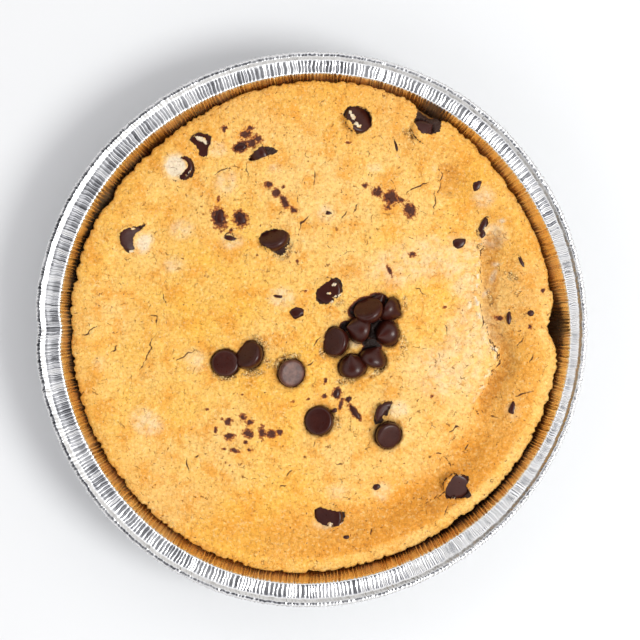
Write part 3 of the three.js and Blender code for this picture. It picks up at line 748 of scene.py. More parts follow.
# %% Windows over half-covered chips
WINDOWS = {  # outline of what shows of a chip that the dough partly covers, about its middle
    "chip_middle_oblong": [
        (-4.8, -1.7), (-4.6, -4.1), (-3.1, -5.5), (0, -5.7), (0.7, -4.8), (1.7, -4.1), (3.5, -3.5),
        (5.2, -2.4), (5.7, 0), (5.5, 2.4), (4.8, 4.1), (3.1, 4.8), (1.4, 4.1), (-0.7, 2.8), (-2.8, 1.4),
        (-4.3, 0)],
    "chip_far_top": [
        (-5.3, 2.1), (-4.8, 3.8), (-2.8, 5.2), (0.3, 5.3), (3.1, 4.5), (5.2, 2.8), (6.1, 0.3), (5.7, -2.4),
        (3.8, -4.5), (1.7, -5.4), (-0.3, -5.4), (-1.2, -3.8), (-1.7, -1.7), (-2.8, -0.3), (-4.5, 0.7)],
    "chip_edge_right": [
        (-3.8, 3.6), (-2.6, 5.0), (-2.4, 7.0), (-1.0, 10.5), (4.0, 10.0), (8.0, 6.0), (7.0, 2.0), (6.6, -0.6),
        (4.6, -1.6), (2.5, -1.8), (-0.4, -1.6), (-2.0, -0.4), (-2.6, 1.4)],
    "chip_low_right": [
        (-4.3, -5.5), (-3.8, -1.0), (-1.9, 2.1), (-0.6, 3.8), (2.9, 4.1), (5.3, 3.1), (5.1, 1.7), (3.9, -0.3),
        (5.0, -2.1), (6.3, -4.1), (5.7, -5.2), (2.2, -5.5), (-0.9, -5.9)],
    "chip_low_middle": [
        (-6.0, 1.7), (-5.6, 3.1), (-3.4, 3.9), (0.1, 2.8), (3.5, 2.3), (5.9, 2.1), (6.5, 0.7), (5.9, -1.7),
        (3.9, -3.2), (0.8, -3.8), (-2.0, -3.1), (-4.1, -2.1), (-5.6, -0.3)],
    "chip_left_upper": [
        (-3.5, 1.7), (-2.1, 3.1), (0.3, 3.9), (3.1, 4.5), (6.4, 5.2), (4.5, 3.1), (2.4, 1.7), (1.4, -0.3),
        (1.4, -2.8), (2.1, -4.5), (1.7, -5.9), (-0.3, -6.2), (-1.7, -5.2), (-3.1, -3.1), (-3.5, -0.7)],
    "chip_cream_left": [
        (-0.3, 3.9), (2.1, 4.3), (4.3, 3.6), (6.0, 1.0), (6.1, -1.8), (4.8, -4.0), (3.1, -5.0), (0.3, -4.8),
        (-0.3, -3.8), (1.2, -2.6), (2.1, -1.5), (3.3, -0.5), (3.7, 1.0), (2.9, 2.6), (1.0, 3.5)],
    "chip_cream_right": [
        (-4.9, 2.1), (-3.9, 3.8), (-1.4, 4.5), (2.0, 3.9), (3.7, 2.8), (3.4, 0.3), (2.3, -1.4), (2.1, -4.5),
        (0.3, -4.8), (-1.4, -4.1), (-1.1, -2.4), (-2.5, -0.3), (-4.2, 1.0)],
    "chip_smeared": [
        (-3.9, -2.1), (-3.6, -0.7), (-1.2, 1.4), (1.6, 3.1), (5.0, 3.2), (7.5, 1.7), (7.0, 0.7), (3.7, -0.3),
        (0.2, -1.7), (-2.6, -2.4)],
    "chip_pair_broken": [
        (-3.6, 3.2), (-2.8, 5.5), (-0.3, 7.1), (2.8, 7.9), (3.3, 7.1), (2.2, 4.8), (1.2, 2.1), (-0.4, 2.1),
        (-0.9, 1.8), (0.0, 0.0), (-1.2, -1.2), (-3.8, -1.6), (-4.3, 0.4)],
    "chip_middle_big": [
        (-6.6, 1.0), (-5.5, 3.1), (-2.8, 4.5), (0.3, 5.0), (3.5, 4.3), (5.5, 2.8), (5.9, 0.7), (5.2, -1.4),
        (4.5, -3.8), (3.1, -5.5), (1.0, -5.2), (-1.0, -3.8), (-3.1, -2.4), (-5.5, -1.4)],
}
WINDOW_CENTRES = {
    "chip_middle_oblong": (6.1, 15.6), "chip_far_top": (17.4, 82.6), "chip_edge_right": (43.6, 78.6),
    "chip_low_right": (56.6, -61.3), "chip_low_middle": (6.5, -74.3), "chip_left_upper": (-72.4, 36.3),
    "chip_cream_left": (-52.7, 64.1), "chip_cream_right": (-43.7, 73.1), "chip_smeared": (-21.4, 69.0),
    "chip_middle_big": (-14.7, 34.7), "chip_pair_broken": (28.3, -36.0),
}
print(len(WINDOWS), "chips half covered")

# %% Scraps of dough and craters
FILM_BITS = [  # scraps of pale dough left on a chip: place, length, width, direction
    (8.5, 17.7, 2.4, 1.6, 40), (6.4, 14.2, 2.0, 0.9, 0), (10.2, 13.5, 2.8, 1.0, 20), (8.9, 12.8, 2.0, 0.9, 0),
    (7.6, 11.0, 1.6, 0.9, 30), (14.9, 85.2, 2.2, 1.6, -70), (15.9, 83.6, 3.6, 1.9, -66),
    (17.4, 80.6, 2.8, 1.8, -50), (18.6, 80.0, 1.6, 1.4, 0),
    (7.1, -76.9, 2.0, 1.5, 0), (11.3, -76.6, 1.5, 0.8, 0),
    (-44.4, 75.2, 4.4, 2.2, -20), (-42.2, 73.9, 2.6, 1.8, -30), (-70.9, 39.8, 1.6, 0.9, 10),
    (-71.7, 31.0, 2.4, 1.2, 0), (-48.6, 62.2, 1.6, 0.8, 40), (-49.6, 60.9, 1.4, 0.6, 20),
    (58.2, -57.6, 1.2, 0.7, 0), (56.0, -66.4, 1.8, 0.7, 10),
]
CRATERS = [  # where the crust broke up round a chip: place, length, width, direction
    (-33.8, -18.6, 8, 3.2, 5), (-38.5, -17.2, 3, 2.5, 0), (-20.2, -4.8, 9, 3.4, -38),
    (-23.6, -17.0, 10, 3.2, 4), (-17.6, -13.0, 3, 5, 0), (-9.4, -11.2, 10, 4.0, 12),
    (-14.0, -13.6, 3.5, 4.5, 0), (-9.6, 31.0, 3.6, 7.5, -15),
    (-13.2, 28.9, 6, 3, -20), (9.3, -36.5, 3, 6, 0), (35.8, -6.0, 3.4, 9, 8), (36.4, 10.6, 2, 6, 0),
    (12.6, -20.4, 9, 2.8, 5), (4.0, -9.4, 3, 4.5, 30),
    (25.6, -16.8, 8, 2.6, 30), (38.4, 76.8, 3.4, 5.0, 20), (10.8, 10.4, 4, 2.4, 30),
    (70.4, 12.4, 2, 7, 8), (78.6, 21.0, 3.4, 6, 60), (66.6, 32.6, 3.0, 4.5, 60),
]
print(len(FILM_BITS), "scraps,", len(CRATERS), "craters")

# %% [markdown]
# ## The cookie
# The body is one closed mesh. A square grid is mapped onto the disc so that its cells stay
# even, the rim of the grid is carried down the side to the floor, and each point of the top
# is raised or lowered by the dips, the gritty surface, the cracks and the rims of the holes
# round the chips. Fields that say how pale, stained or cracked each point is are kept on
# the mesh, and the material reads them.

# %% Grid over the disc
GRID = 300
EDGE_START = 0.9  # only the grid beyond this share gets teeth
EDGE_SHIFTS = [(0.5, 4.5, -1.9), (11, 6, -0.8), (61.7, 2.6, -2.3), (-9, 5, 0.4), (92, 24, 0.15),
               (182, 26, 0.25), (315, 20, -0.1)]  # where the edge stands in or out: azimuth, width, mm
MORE_RAGGED = [(232, 34, 0.3)]

line = np.linspace(-1, 1, GRID + 1)
gx, gy = np.meshgrid(line, line)
flatter = np.abs(gx) >= np.abs(gy)
reach = np.where(flatter, gx, gy)
safe = np.where(np.abs(reach) < 1e-9, 1, reach)
quarter = math.pi / 4
grid_angle = np.where(flatter, quarter * gy / safe, math.pi / 2 - quarter * gx / safe)
grid_angle = np.where(reach < 0, grid_angle + math.pi, grid_angle).ravel()
grid_share = np.abs(reach).ravel()
print(grid_share.size, "points in the grid")

# %% Ragged edge
edge_seed = np.c_[np.cos(grid_angle) * 60, np.sin(grid_angle) * 60, np.zeros(grid_angle.size)]
near_edge = grid_share > EDGE_START
crumbs_off = 1.15 * rough(edge_seed[near_edge], 1.05, 2, 5.0)
bites_off = 1.2 * np.abs(rough(edge_seed[near_edge], 4.2, 1, 1.5))
teeth = np.zeros(grid_angle.size)
teeth[near_edge] = (crumbs_off - bites_off + 0.25).clip(None, 0.22)
ragged = 0.9 + bumps(grid_angle, MORE_RAGGED)
widest = cookie_side(grid_angle, edge_height(grid_angle)) + 0.25 + bumps(grid_angle, EDGE_SHIFTS)
radius = widest * grid_share + teeth * ragged * smoothstep(grid_share, 0.955, 1.0)
top_x = radius * np.cos(grid_angle)
top_y = radius * np.sin(grid_angle)
print("mean of the edge's teeth", round(float(teeth[grid_share > 0.999].mean()), 2), "mm")

# %% [markdown]
# Every mark is found by its distance. For each point of the grid these helpers measure how
# deep it lies in an oval, how far it is from a line, and how far it is inside an outline.

# %% Distance to ovals and lines
def oval(x, y, mark):
    """1 in the middle of an oval mark, 0 at its edge, below 0 outside."""
    cx, cy, length, width, turn = mark[:5]
    a = math.radians(turn)
    u = ((x - cx) * math.cos(a) + (y - cy) * math.sin(a)) / (length / 2)
    v = (-(x - cx) * math.sin(a) + (y - cy) * math.cos(a)) / (width / 2)
    return 1 - np.hypot(u, v)


def to_segment(x, y, start, end):
    """Nearest share along a segment, and the nearest point, for each x, y."""
    way = np.subtract(end, start)
    share = ((x - start[0]) * way[0] + (y - start[1]) * way[1]) / max(way @ way, 1e-9)
    share = np.clip(share, 0, 1)
    return share, start[0] + share * way[0], start[1] + share * way[1]


def to_path(x, y, path):
    """Distance to a line of points, the same with its side as a sign, share along it, nearest point."""
    best = np.full(x.size, 99.0)
    signed = np.full(x.size, 99.0)
    along = np.zeros(x.size)
    onto = np.zeros((x.size, 2))
    for i, (start, end) in enumerate(zip(path[:-1], path[1:])):
        share, nx, ny = to_segment(x, y, start, end)
        away = np.hypot(x - nx, y - ny)
        turned = (end[0] - start[0]) * (y - start[1]) - (end[1] - start[1]) * (x - start[0])
        nearer = away < best
        best = np.where(nearer, away, best)
        signed = np.where(nearer, away * np.sign(turned), signed)
        along = np.where(nearer, (i + share) / (len(path) - 1), along)
        onto[nearer] = np.c_[nx, ny][nearer]
    return best, signed, along, onto


middle_depth = float(oval(np.zeros(1), np.zeros(1), (0, 0, 4, 2, 0))[0])
print("an oval's middle counts as", middle_depth)

# %% Distance to outlines
def inside_outline(x, y, outline):
    """Distance in mm to an outline, above 0 inside it and below 0 outside."""
    away = np.full(x.size, 1e9)
    inside = np.zeros(x.size, bool)
    for (x0, y0), (x1, y1) in zip(outline, outline[1:] + outline[:1]):
        share, nx, ny = to_segment(x, y, (x0, y0), (x1, y1))
        away = np.minimum(away, np.hypot(x - nx, y - ny))
        crosses = (y0 > y) != (y1 > y)
        at = x0 + (y - y0) * (x1 - x0) / (y1 - y0 if y1 != y0 else 1e-9)
        inside ^= crosses & (x < at)
    return np.where(inside, away, -away)


def hull(points):
    """The outline that a band stretched round the points takes."""
    outline = []
    for order in (sorted(points), sorted(points, reverse=True)):
        side = []
        for p in order:
            while len(side) > 1 and ((side[-1][0] - side[-2][0]) * (p[1] - side[-2][1])
                                     <= (side[-1][1] - side[-2][1]) * (p[0] - side[-2][0])):
                side.pop()
            side.append(p)
        outline += side[:-1]
    return outline


square = [(0, 0), (1, 0), (1, 1), (0, 1)]
print("a square with a point inside keeps", len(hull(square + [(0.5, 0.4)])), "corners")

# %% [markdown]
# A crack in a coarse grid turns into a row of steps. So the grid's nearest points are moved
# onto the crack's line first, which gives it a clean, sharp bottom without more faces.

# %% Draw the grid onto the cracks
CRACK_STEP, CRACK_WANDER = 1.1, 0.36  # a crack turns this often, and by this much
CRACK_SNAP, CRACK_WIDTH = 0.33, 0.5


def jagged(path):
    """The crack's line with small turns added."""
    points = [np.array(path[0], float)]
    for start, end in zip(path[:-1], path[1:]):
        start, end = np.array(start, float), np.array(end, float)
        steps = max(int(np.hypot(*(end - start)) / CRACK_STEP), 1)
        side = np.array([-(end - start)[1], (end - start)[0]]) / max(np.hypot(*(end - start)), 1e-6)
        for i in range(1, steps + 1):
            wander = 0 if i == steps else rng.normal(0, CRACK_WANDER)
            points.append(start + (end - start) * i / steps + side * wander)
    return points


crack_field = np.zeros(top_x.size)
for path in CRACKS:
    points = jagged(path)
    xs = [p[0] for p in points]
    ys = [p[1] for p in points]
    close = np.flatnonzero((top_x > min(xs) - 2) & (top_x < max(xs) + 2)
                           & (top_y > min(ys) - 2) & (top_y < max(ys) + 2))
    best, _, along, onto = to_path(top_x[close], top_y[close], points)
    taper = np.sqrt(np.clip(4 * along * (1 - along), 0.12, 1))
    snap = best < CRACK_SNAP
    top_x[close[snap]] = onto[snap, 0]
    top_y[close[snap]] = onto[snap, 1]
    best[snap] = 0
    strength = np.exp(-((best / CRACK_WIDTH) ** 2)) * taper
    crack_field[close] = np.maximum(crack_field[close], strength)
print("crack points", int((crack_field > 0.5).sum()))

# %% Stains, pale patches and chip holes
MELT_STRENGTH, MELT_STEEPNESS = 1.5, 6.0  # melted chocolate has a sharper border than a stain

stain = np.full(top_x.size, -1.0)
for mark in STAINS:
    steep = MELT_STEEPNESS if mark[5] > MELT_STRENGTH else 1.0
    stain = np.maximum(stain, steep * oval(top_x, top_y, mark) + (mark[5] - 1) * 0.55 + 0.08)
pale = np.zeros(top_x.size)
for mark in PALE_PATCHES:
    pale = np.maximum(pale, mark[5] * smoothstep(oval(top_x, top_y, mark), -0.35, 0.45))

hole = np.full(top_x.size, 9.0)  # distance out from the nearest chip, in mm
for name, (x, y, lift, size, lean, heading) in CHIPS.items():
    if name in WINDOWS:
        continue
    shape = chip_shapes[name][0]
    clear = shape[shape[:, 2] > level_at(shape[:, 0], shape[:, 1]) - 0.3]
    close = np.hypot(top_x - x, top_y - y) < 14
    gap = -inside_outline(top_x[close], top_y[close], hull(clear[:, :2].tolist()))
    hole[close] = np.minimum(hole[close], gap)
print("stained points", int((stain > 0).sum()), "points under chips", int((hole < 0).sum()))

# %% Where the dough covers a chip, and where the chip shows
SKY = 60  # height that the top is looked at from, in mm
DOWN = Vector((0, 0, -1))

grid_level = cookie_top(grid_angle, grid_share)
window = np.full(top_x.size, -3.0)
cover = np.full(top_x.size, np.nan)  # height of a half-covered chip under each point
for name, outline in WINDOWS.items():
    cx, cy = WINDOW_CENTRES[name]
    close = np.flatnonzero(np.hypot(top_x - cx, top_y - cy) < 11)
    seen = inside_outline(top_x[close] - cx, top_y[close] - cy, outline)
    window[close] = np.maximum(window[close], seen)
    chip_tree = BVHTree.FromPolygons([tuple(p) for p in chip_shapes[name][0]], chip_shapes[name][1])
    for index in close:
        hit = chip_tree.ray_cast(Vector((top_x[index], top_y[index], SKY)), DOWN)[0]
        if hit is not None:
            cover[index] = hit.z
for mark in FILM_BITS:
    close = np.hypot(top_x - mark[0], top_y - mark[1]) < 4
    torn = 0.5 * rough(np.c_[top_x[close], top_y[close], top_x[close] * 0], 0.9, 2, 5.5)
    scrap = (oval(top_x[close], top_y[close], mark) + torn) * min(mark[2:4]) * 0.5
    window[close] = np.minimum(window[close], -scrap)
    pale = np.maximum(pale, 1.7 * smoothstep(oval(top_x, top_y, mark), -0.3, 0.3))
window = window.clip(-3, 3)
crater = np.zeros(top_x.size)
for mark in CRATERS:
    crater = np.maximum(crater, smoothstep(oval(top_x, top_y, mark), -0.25, 0.4))
print("points over half-covered chips:", int(np.isfinite(cover).sum()))

# %% How far the top breaks down at a ledge
ledge_drop = np.zeros(top_x.size)
ledge_lip = np.zeros(top_x.size)
ledge_shade = np.zeros(top_x.size)
for path, depth in LEDGES:
    best, signed, along, _ = to_path(top_x, top_y, jagged(path))
    taper = smoothstep(along, 0.0, 0.12) * (1 - smoothstep(along, 0.8, 1.0))
    fall = smoothstep(signed, -0.2, 0.7) * (1 - smoothstep(signed, 1.5, 9.5)) * (best < 12)
    lip_here = np.exp(-(((signed + 0.9) / 1.1) ** 2))
    shade = smoothstep(signed, 0.5, 2.0) * (1 - smoothstep(signed, 4.5, 9.0))
    ledge_drop = np.maximum(ledge_drop, depth * taper * fall)
    ledge_lip = np.maximum(ledge_lip, depth * taper * lip_here)
    ledge_shade = np.maximum(ledge_shade, min(depth, 1) * taper * shade)
    crack_field = np.maximum(crack_field, taper * np.exp(-(((signed - 0.5) / 0.3) ** 2)))
print("deepest ledge", round(float(ledge_drop.max()), 2), "mm")

# %% [markdown]
# Now the top gets its height. Slow lumps, grit and fine grit are noise with lumps 11, 2.6
# and 1.1 mm across. The dips, cracks and ledges go down, the crumbly rims of the holes go
# up, and the crust lies over a covered chip like a thin skin that ends at its window.

# %% Lumps, dips and rims
flat_points = np.c_[top_x, top_y, np.zeros(top_x.size)]
lumps = rough(flat_points, 11.0, 3, 2.2)
grit = rough(flat_points, 2.6, 3, 7.7)
fine = rough(flat_points, 1.1, 2, 4.1)
relief = 0.42 * lumps + 0.24 * grit + 0.16 * fine
for mark in DIPS:
    relief -= mark[5] * smoothstep(oval(top_x, top_y, mark), -0.5, 0.7)
relief -= 0.42 * crack_field
relief -= ledge_drop
relief += 0.25 * ledge_lip * (1 + grit + 0.6 * fine)
crumbly = 1 + 0.8 * grit + 0.5 * fine
relief += 0.3 * np.exp(-(((hole - 1.3) / 1.0) ** 2)) * crumbly
relief -= 0.9 * np.exp(-(((hole + 0.1) / 0.7) ** 2))
relief -= 1.2 * (hole < -0.5)
relief += crater * (0.75 * fine + 0.5 * grit - 0.35)
relief += 0.16 * pale.clip(0, 1)
# The ledges' lips are made pale: pale flakes, and painted light on the lip that faces the window.
pale = np.maximum(pale, 0.9 * ledge_lip * smoothstep(grit, -0.1, 0.3))
print("relief in mm from", round(float(relief.min()), 2), "to", round(float(relief.max()), 2))

# %% Height of the top, over the chips and down to them
level = grid_level + relief * (1 - smoothstep(grid_share, 0.975, 1.0) * 0.6)
covered = np.isfinite(cover)
shown = covered & (window > 0.1)
hidden = covered & (window <= 0.1)
level[shown] = np.minimum(level[shown], cover[shown] - 0.15 - 1.2 * np.minimum(window[shown], 0.6))
skin_lift = 0.16 + 0.12 * grit[hidden] + 0.25 * np.exp(-((window[hidden] + 0.5) / 0.5) ** 2)
level[hidden] = np.maximum(level[hidden], cover[hidden] + skin_lift.clip(0.06))
top_points = np.c_[top_x, top_y, level]
print("top from", round(float(level.min()), 1), "to", round(float(level.max()), 1), "mm")

# %% Side and base
SIDE_SHARES = (0.93, 0.8, 0.6, 0.35, 0.16)  # heights of the side's rings
HOLLOWS = [(1.5, 4.6, 3.4), (158, 38, 1.0), (318, 20, 1.2)]  # under the edge


def grid_index(row, column):
    return row * (GRID + 1) + column


loop = ([grid_index(0, c) for c in range(GRID)] + [grid_index(r, GRID) for r in range(GRID)]
        + [grid_index(GRID, c) for c in range(GRID, 0, -1)] + [grid_index(r, 0) for r in range(GRID, 0, -1)])
loop = np.array(loop)
loop_angle = np.arctan2(top_y[loop], top_x[loop])
loop_top = top_points[loop, 2]
side_rings = []
for share in SIDE_SHARES:
    height = COOKIE_BASE + (loop_top - COOKIE_BASE) * share
    out = cookie_side(loop_angle, height) - 0.1 + 0.25 * teeth[loop] * share
    out = out - bumps(loop_angle, HOLLOWS) * min(share * 2.5, 1)
    side_rings.append(np.c_[out * np.cos(loop_angle), out * np.sin(loop_angle), height])
base_out = np.full(loop.size, FLOOR_RADIUS - 0.9)
side_rings.append(np.c_[base_out * np.cos(loop_angle), base_out * np.sin(loop_angle),
                        np.full(loop.size, COOKIE_BASE)])
print(len(side_rings), "rings down the side")

# %% Join the top, side and base
cookie_points = np.concatenate([top_points] + side_rings + [np.array([[0, 0, COOKIE_BASE]])])
rows = np.arange(GRID)
corner = (rows[:, None] * (GRID + 1) + rows[None, :]).ravel()
cookie_faces = np.c_[corner, corner + 1, corner + GRID + 2, corner + GRID + 1].tolist()
count = loop.size
ahead = (np.arange(count) + 1) % count
ring_ids = [loop] + [top_points.shape[0] + k * count + np.arange(count) for k in range(len(side_rings))]
for upper, lower in zip(ring_ids[:-1], ring_ids[1:]):
    cookie_faces += np.c_[upper, lower, lower[ahead], upper[ahead]].tolist()
bottom = cookie_points.shape[0] - 1
cookie_faces += [(bottom, int(q), int(p)) for p, q in zip(ring_ids[-1], ring_ids[-1][ahead])]
print(len(cookie_faces), "faces of cookie")

# %% [markdown]
# ## The crust's finish
# Baked cookie dough is a dry, fine crumb under a thin dull skin. The skin is golden where
# it is thin and more orange where it browned, towards the edge; down in the hollows the orange is browning
# and painted shade.
# Dark pores and hairline cracks break it up. A baker would see it as coats laid over each
# other, and so the material is a list of coats, each with its colour and what it follows.

# %% Colours of the crust
CRUST = {
    "golden": "#FBBF4C", "cream": "#FBCD7A", "orange": "#EEA132", "brown": "#B56C20",
    "dark grain": "#CB8630", "light grain": "#FFE3A4", "pale film": "#F8DFB4", "white film": "#F0E2C8",
    "dark brown": "#8A4E1C", "crevice shade": "#4A2512", "broken crumb": "#6A4218", "shaded side": "#3E1C0B",
    "cocoa rim": "#9A4A1C", "stain": "#471C0E", "melt and shade": "#1E0E08", "chip": "#33190F",
}
dough = bpy.data.materials.new("baked cookie dough")
dough.use_nodes = True
tree = dough.node_tree
shader = tree.nodes["Principled BSDF"]
place = add_node(tree, "ShaderNodeTexCoord").outputs["Object"]
print(len(CRUST), "colours of crust")

# %% [markdown]
# The patterns are noise in the real size of what they draw: a 42 mm one for the slow change
# from golden to cream, 9 mm for browned clouds, 2.2 mm for the bumps and about 1 mm for
# grains and pores. The light and dark grains are partly the crumb's own specks and partly
# painted highlight and painted shade of its fine relief. Real sugar grains are half that size
# and too fine to show, so they are drawn as coarse as they need to be. The fields are numbers
# kept on the mesh's points.

# %% Patterns and fields that the coats follow
PATTERNS = {  # size in mm, detail, roughness
    "slow": (42.0, 2.0, 0.6), "clouds": (9.0, 4.0, 0.6), "bumps": (2.2, 4.0, 0.7), "grains": (1.15, 3.0, 0.6),
    "film": (3.2, 3.0, 0.6), "pores": (0.95, 2.0, 0.5), "pits": (1.6, 3.0, 0.65), "gaps": (2.6, 3.0, 0.6),
    "wrinkled": (2.0, 3.0, 0.6), "specks": (1.5, 1.0, 0.6), "rubble": (1.3, 3.0, 0.7),
    "crumbs": (1.0, 2.0, 0.6), "stain edge": (1.2, 3.0, 0.6), "chip edge": (1.2, 2.0, 0.6),
    "grit": (1.2, 3.0, 0.7),
}
FIELDS = ("browned_shade_and_light", "pale", "crack", "halo_and_shade", "hole_rim", "crater", "stain", "window", "side")

follow = {}
for name, (size, detail, roughness) in PATTERNS.items():
    follow[name] = add_node(tree, "ShaderNodeTexNoise", Vector=place, Scale=per_metre(size),
                            Detail=detail, Roughness=roughness).outputs["Fac"]
for name in FIELDS:
    follow["field " + name] = add_node(tree, "ShaderNodeAttribute", attribute_name=name).outputs["Fac"]
print(len(PATTERNS), "patterns and", len(FIELDS), "fields")

# %% [markdown]
# Hairline cracks and wrinkles are the borders between cells, in two sizes. A cell pattern
# alone looks like tiles, so its coordinates are pushed about by a slower noise first, and
# the borders are shown only in places.

# %% Hairlines and wrinkles
CELL_SIZES = {"hairlines": 6.5, "wrinkles": 2.1}
PUSH_SIZE, PUSH = 3.0, 4.5  # in mm

warp = add_node(tree, "ShaderNodeTexNoise", Vector=place, Scale=per_metre(PUSH_SIZE), Detail=3.0)
pushed = add_node(tree, "ShaderNodeVectorMath", operation="SCALE", i0=warp.outputs["Color"], Scale=PUSH * MM)
bent = add_node(tree, "ShaderNodeVectorMath", operation="ADD", i0=place, i1=pushed.outputs[0])
for name, size in CELL_SIZES.items():
    cells = add_node(tree, "ShaderNodeTexVoronoi", feature="DISTANCE_TO_EDGE",
                     Vector=bent.outputs[0], Scale=per_metre(size))
    follow[name] = cells.outputs["Distance"]
print("cells of", list(CELL_SIZES.values()), "mm")

# %% Torn borders
TORN = {  # a field whose border a pattern tears up: field, pattern, least and most that it adds
    "torn crack": ("field crack", "bumps", -0.25, 0.2),
    "torn hole": ("field hole_rim", "bumps", -0.35, 0.3),
    "torn stain": ("field stain", "stain edge", -0.4, 0.5),
    "torn window": ("field window", "chip edge", -0.3, 0.3),
}
for name, (field, pattern, least, most) in TORN.items():
    push = add_node(tree, "ShaderNodeMapRange", Value=follow[pattern], **{
        "From Min": 0.3, "From Max": 0.7, "To Min": least, "To Max": most})
    follow[name] = add_node(tree, "ShaderNodeMath", operation="ADD",
                            i0=follow[field], i1=push.outputs["Result"]).outputs[0]
print(len(TORN), "torn borders")

# %% Coats, from the first to the last
COATS = [  # name, colour, and what it follows: from, to, least, most; two or more are multiplied
    ("thin skin", "cream", [("slow", 0.35, 0.65, 0, 1)]),
    ("browned_shade_and_light", "orange", [("field browned_shade_and_light", 0, 1, 0, 1)]),
    ("clouds", "orange", [("clouds", 0.48, 0.64, 0, 0.75)]),
    ("high bumps", "brown", [("bumps", 0.55, 0.8, 0, 0.35)]),
    ("low bumps", "cream", [("bumps", 0.47, 0.27, 0, 0.6)]),
    # the grains are partly the crumb's specks, partly painted highlight and painted shade
    ("dark grains", "dark grain", [("grains", 0.53, 0.69, 0, 0.55)]),
    ("light grains", "light grain", [("grains", 0.45, 0.31, 0, 0.5)]),
    ("pale patches", "pale film", [("field pale", 0, 1, 0, 1), ("film", 0.38, 0.6, 0.25, 0.85)]),
    ("palest patches", "white film", [("field pale", 1.0, 1.4, 0, 0.85)]),
    ("pores", "brown", [("pores", 0.685, 0.74, 0, 0.7), ("clouds", 0.3, 0.6, 0.25, 0.85)]),
    ("pits", "brown", [("pits", 0.36, 0.3, 0, 1), ("clouds", 0.35, 0.6, 0.1, 0.6)]),
    # the hairlines' dark colour is painted shade in the fine cracks
    ("hairlines", "dark brown", [("hairlines", 0.03, 0.01, 0, 0.8), ("gaps", 0.58, 0.62, 0, 1),
                               ("slow", 0.4, 0.55, 0.5, 1)]),
    ("wrinkles", "brown", [("wrinkles", 0.1, 0.02, 0, 0.3), ("wrinkled", 0.46, 0.6, 0, 1)]),
    ("specks", "dark brown", [("specks", 0.73, 0.79, 0, 1)]),
    # Painted shade: the cracks and the gap round each chip are coloured dark for the shade in them.
    ("cracks", "crevice shade", [("torn crack", 0.55, 0.85, 0, 1)]),
    # dark brown halos round the holes, and painted shade on the ledges' slopes and in the sunk ring
    ("halos_and_shade", "dark brown", [("field halo_and_shade", 0, 1, 0, 1), ("bumps", 0.3, 0.7, 0.3, 1)]),
    ("holes", "crevice shade", [("torn hole", 0.35, 0.95, 0, 1)]),
    ("craters", "broken crumb", [("field crater", 0, 1, 0, 0.85), ("rubble", 0.42, 0.58, 0, 1)]),
    ("crater crumbs", "light grain", [("field crater", 0, 1, 0, 1), ("crumbs", 0.56, 0.64, 0, 1)]),
    ("stain rims", "cocoa rim", [("torn stain", -0.12, 0.15, 0, 0.9)]),
    ("stains", "stain", [("torn stain", 0.26, 0.44, 0, 0.95)]),
    # near-black: melted chocolate, and painted shade between the heap's chips
    ("melt and shade", "melt and shade", [("torn stain", 1.2, 1.5, 0, 1)]),
    ("chips", "chip", [("torn window", -0.12, 0.06, 0, 1)]),
    # the side's dark colour is painted shade
    ("side", "shaded side", [("field side", 0, 1, 0, 1)]),
]
laid = {}
tone = linear(CRUST["golden"])
for name, colour, masks in COATS:
    for followed, low, high, least, most in masks:
        mask = add_node(tree, "ShaderNodeMapRange", Value=follow[followed], **{
            "From Min": low, "From Max": high, "To Min": least, "To Max": most}).outputs["Result"]
        if name in laid:
            mask = add_node(tree, "ShaderNodeMath", operation="MULTIPLY", i0=laid[name], i1=mask).outputs[0]
        laid[name] = mask
    tone = add_node(tree, "ShaderNodeMix", data_type="RGBA", i0=laid[name],
                    i6=tone, i7=linear(CRUST[colour])).outputs[2]
tree.links.new(tone, shader.inputs["Base Color"])
print(len(COATS), "coats")

# %% [markdown]
# Dry dough is dull, with a roughness of about 0.7. Melted chocolate in it is smoother and
# gets 0.42. A little light goes into the crumb and comes out warmer, which subsurface
# scattering gives. The same patterns that colour the skin also raise and sink it.

# %% Gloss, light in the crumb, and relief
DRY, MELTED = 0.72, 0.42
RELIEF_DEPTH = 1.2  # in mm
RELIEF = [(follow["bumps"], 1.0), (follow["grit"], 0.45), (laid["pores"], -0.857),
          (laid["hairlines"], -0.375), (laid["wrinkles"], -0.4)]

smooth_stain = add_node(tree, "ShaderNodeMapRange", Value=follow["torn stain"], **{
    "From Min": 0.26, "From Max": 0.44, "To Min": 0.0, "To Max": 1.0})
smooth = add_node(tree, "ShaderNodeMath", operation="MAXIMUM",
                  i0=laid["chips"], i1=smooth_stain.outputs["Result"])
gloss = add_node(tree, "ShaderNodeMapRange", Value=smooth.outputs[0], **{
    "From Min": 0.0, "From Max": 1.0, "To Min": DRY, "To Max": MELTED})
tree.links.new(gloss.outputs["Result"], shader.inputs["Roughness"])
shader.inputs["Specular IOR Level"].default_value = 0.35
shader.inputs["Subsurface Weight"].default_value = 0.12
shader.inputs["Subsurface Radius"].default_value = (2.2 * MM, 1.1 * MM, 0.5 * MM)
shader.inputs["Subsurface Scale"].default_value = 1.0
raised = 0.0
for followed, share in RELIEF:
    raised = add_node(tree, "ShaderNodeMath", operation="MULTIPLY_ADD",
                      i0=followed, i1=share, i2=raised).outputs[0]
skin = add_node(tree, "ShaderNodeBump", Height=raised, Strength=1.0, Distance=RELIEF_DEPTH * MM)
tree.links.new(skin.outputs["Normal"], shader.inputs["Normal"])

cookie = add_mesh("cookie_crust", cookie_points, cookie_faces, dough)
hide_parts("cookie")

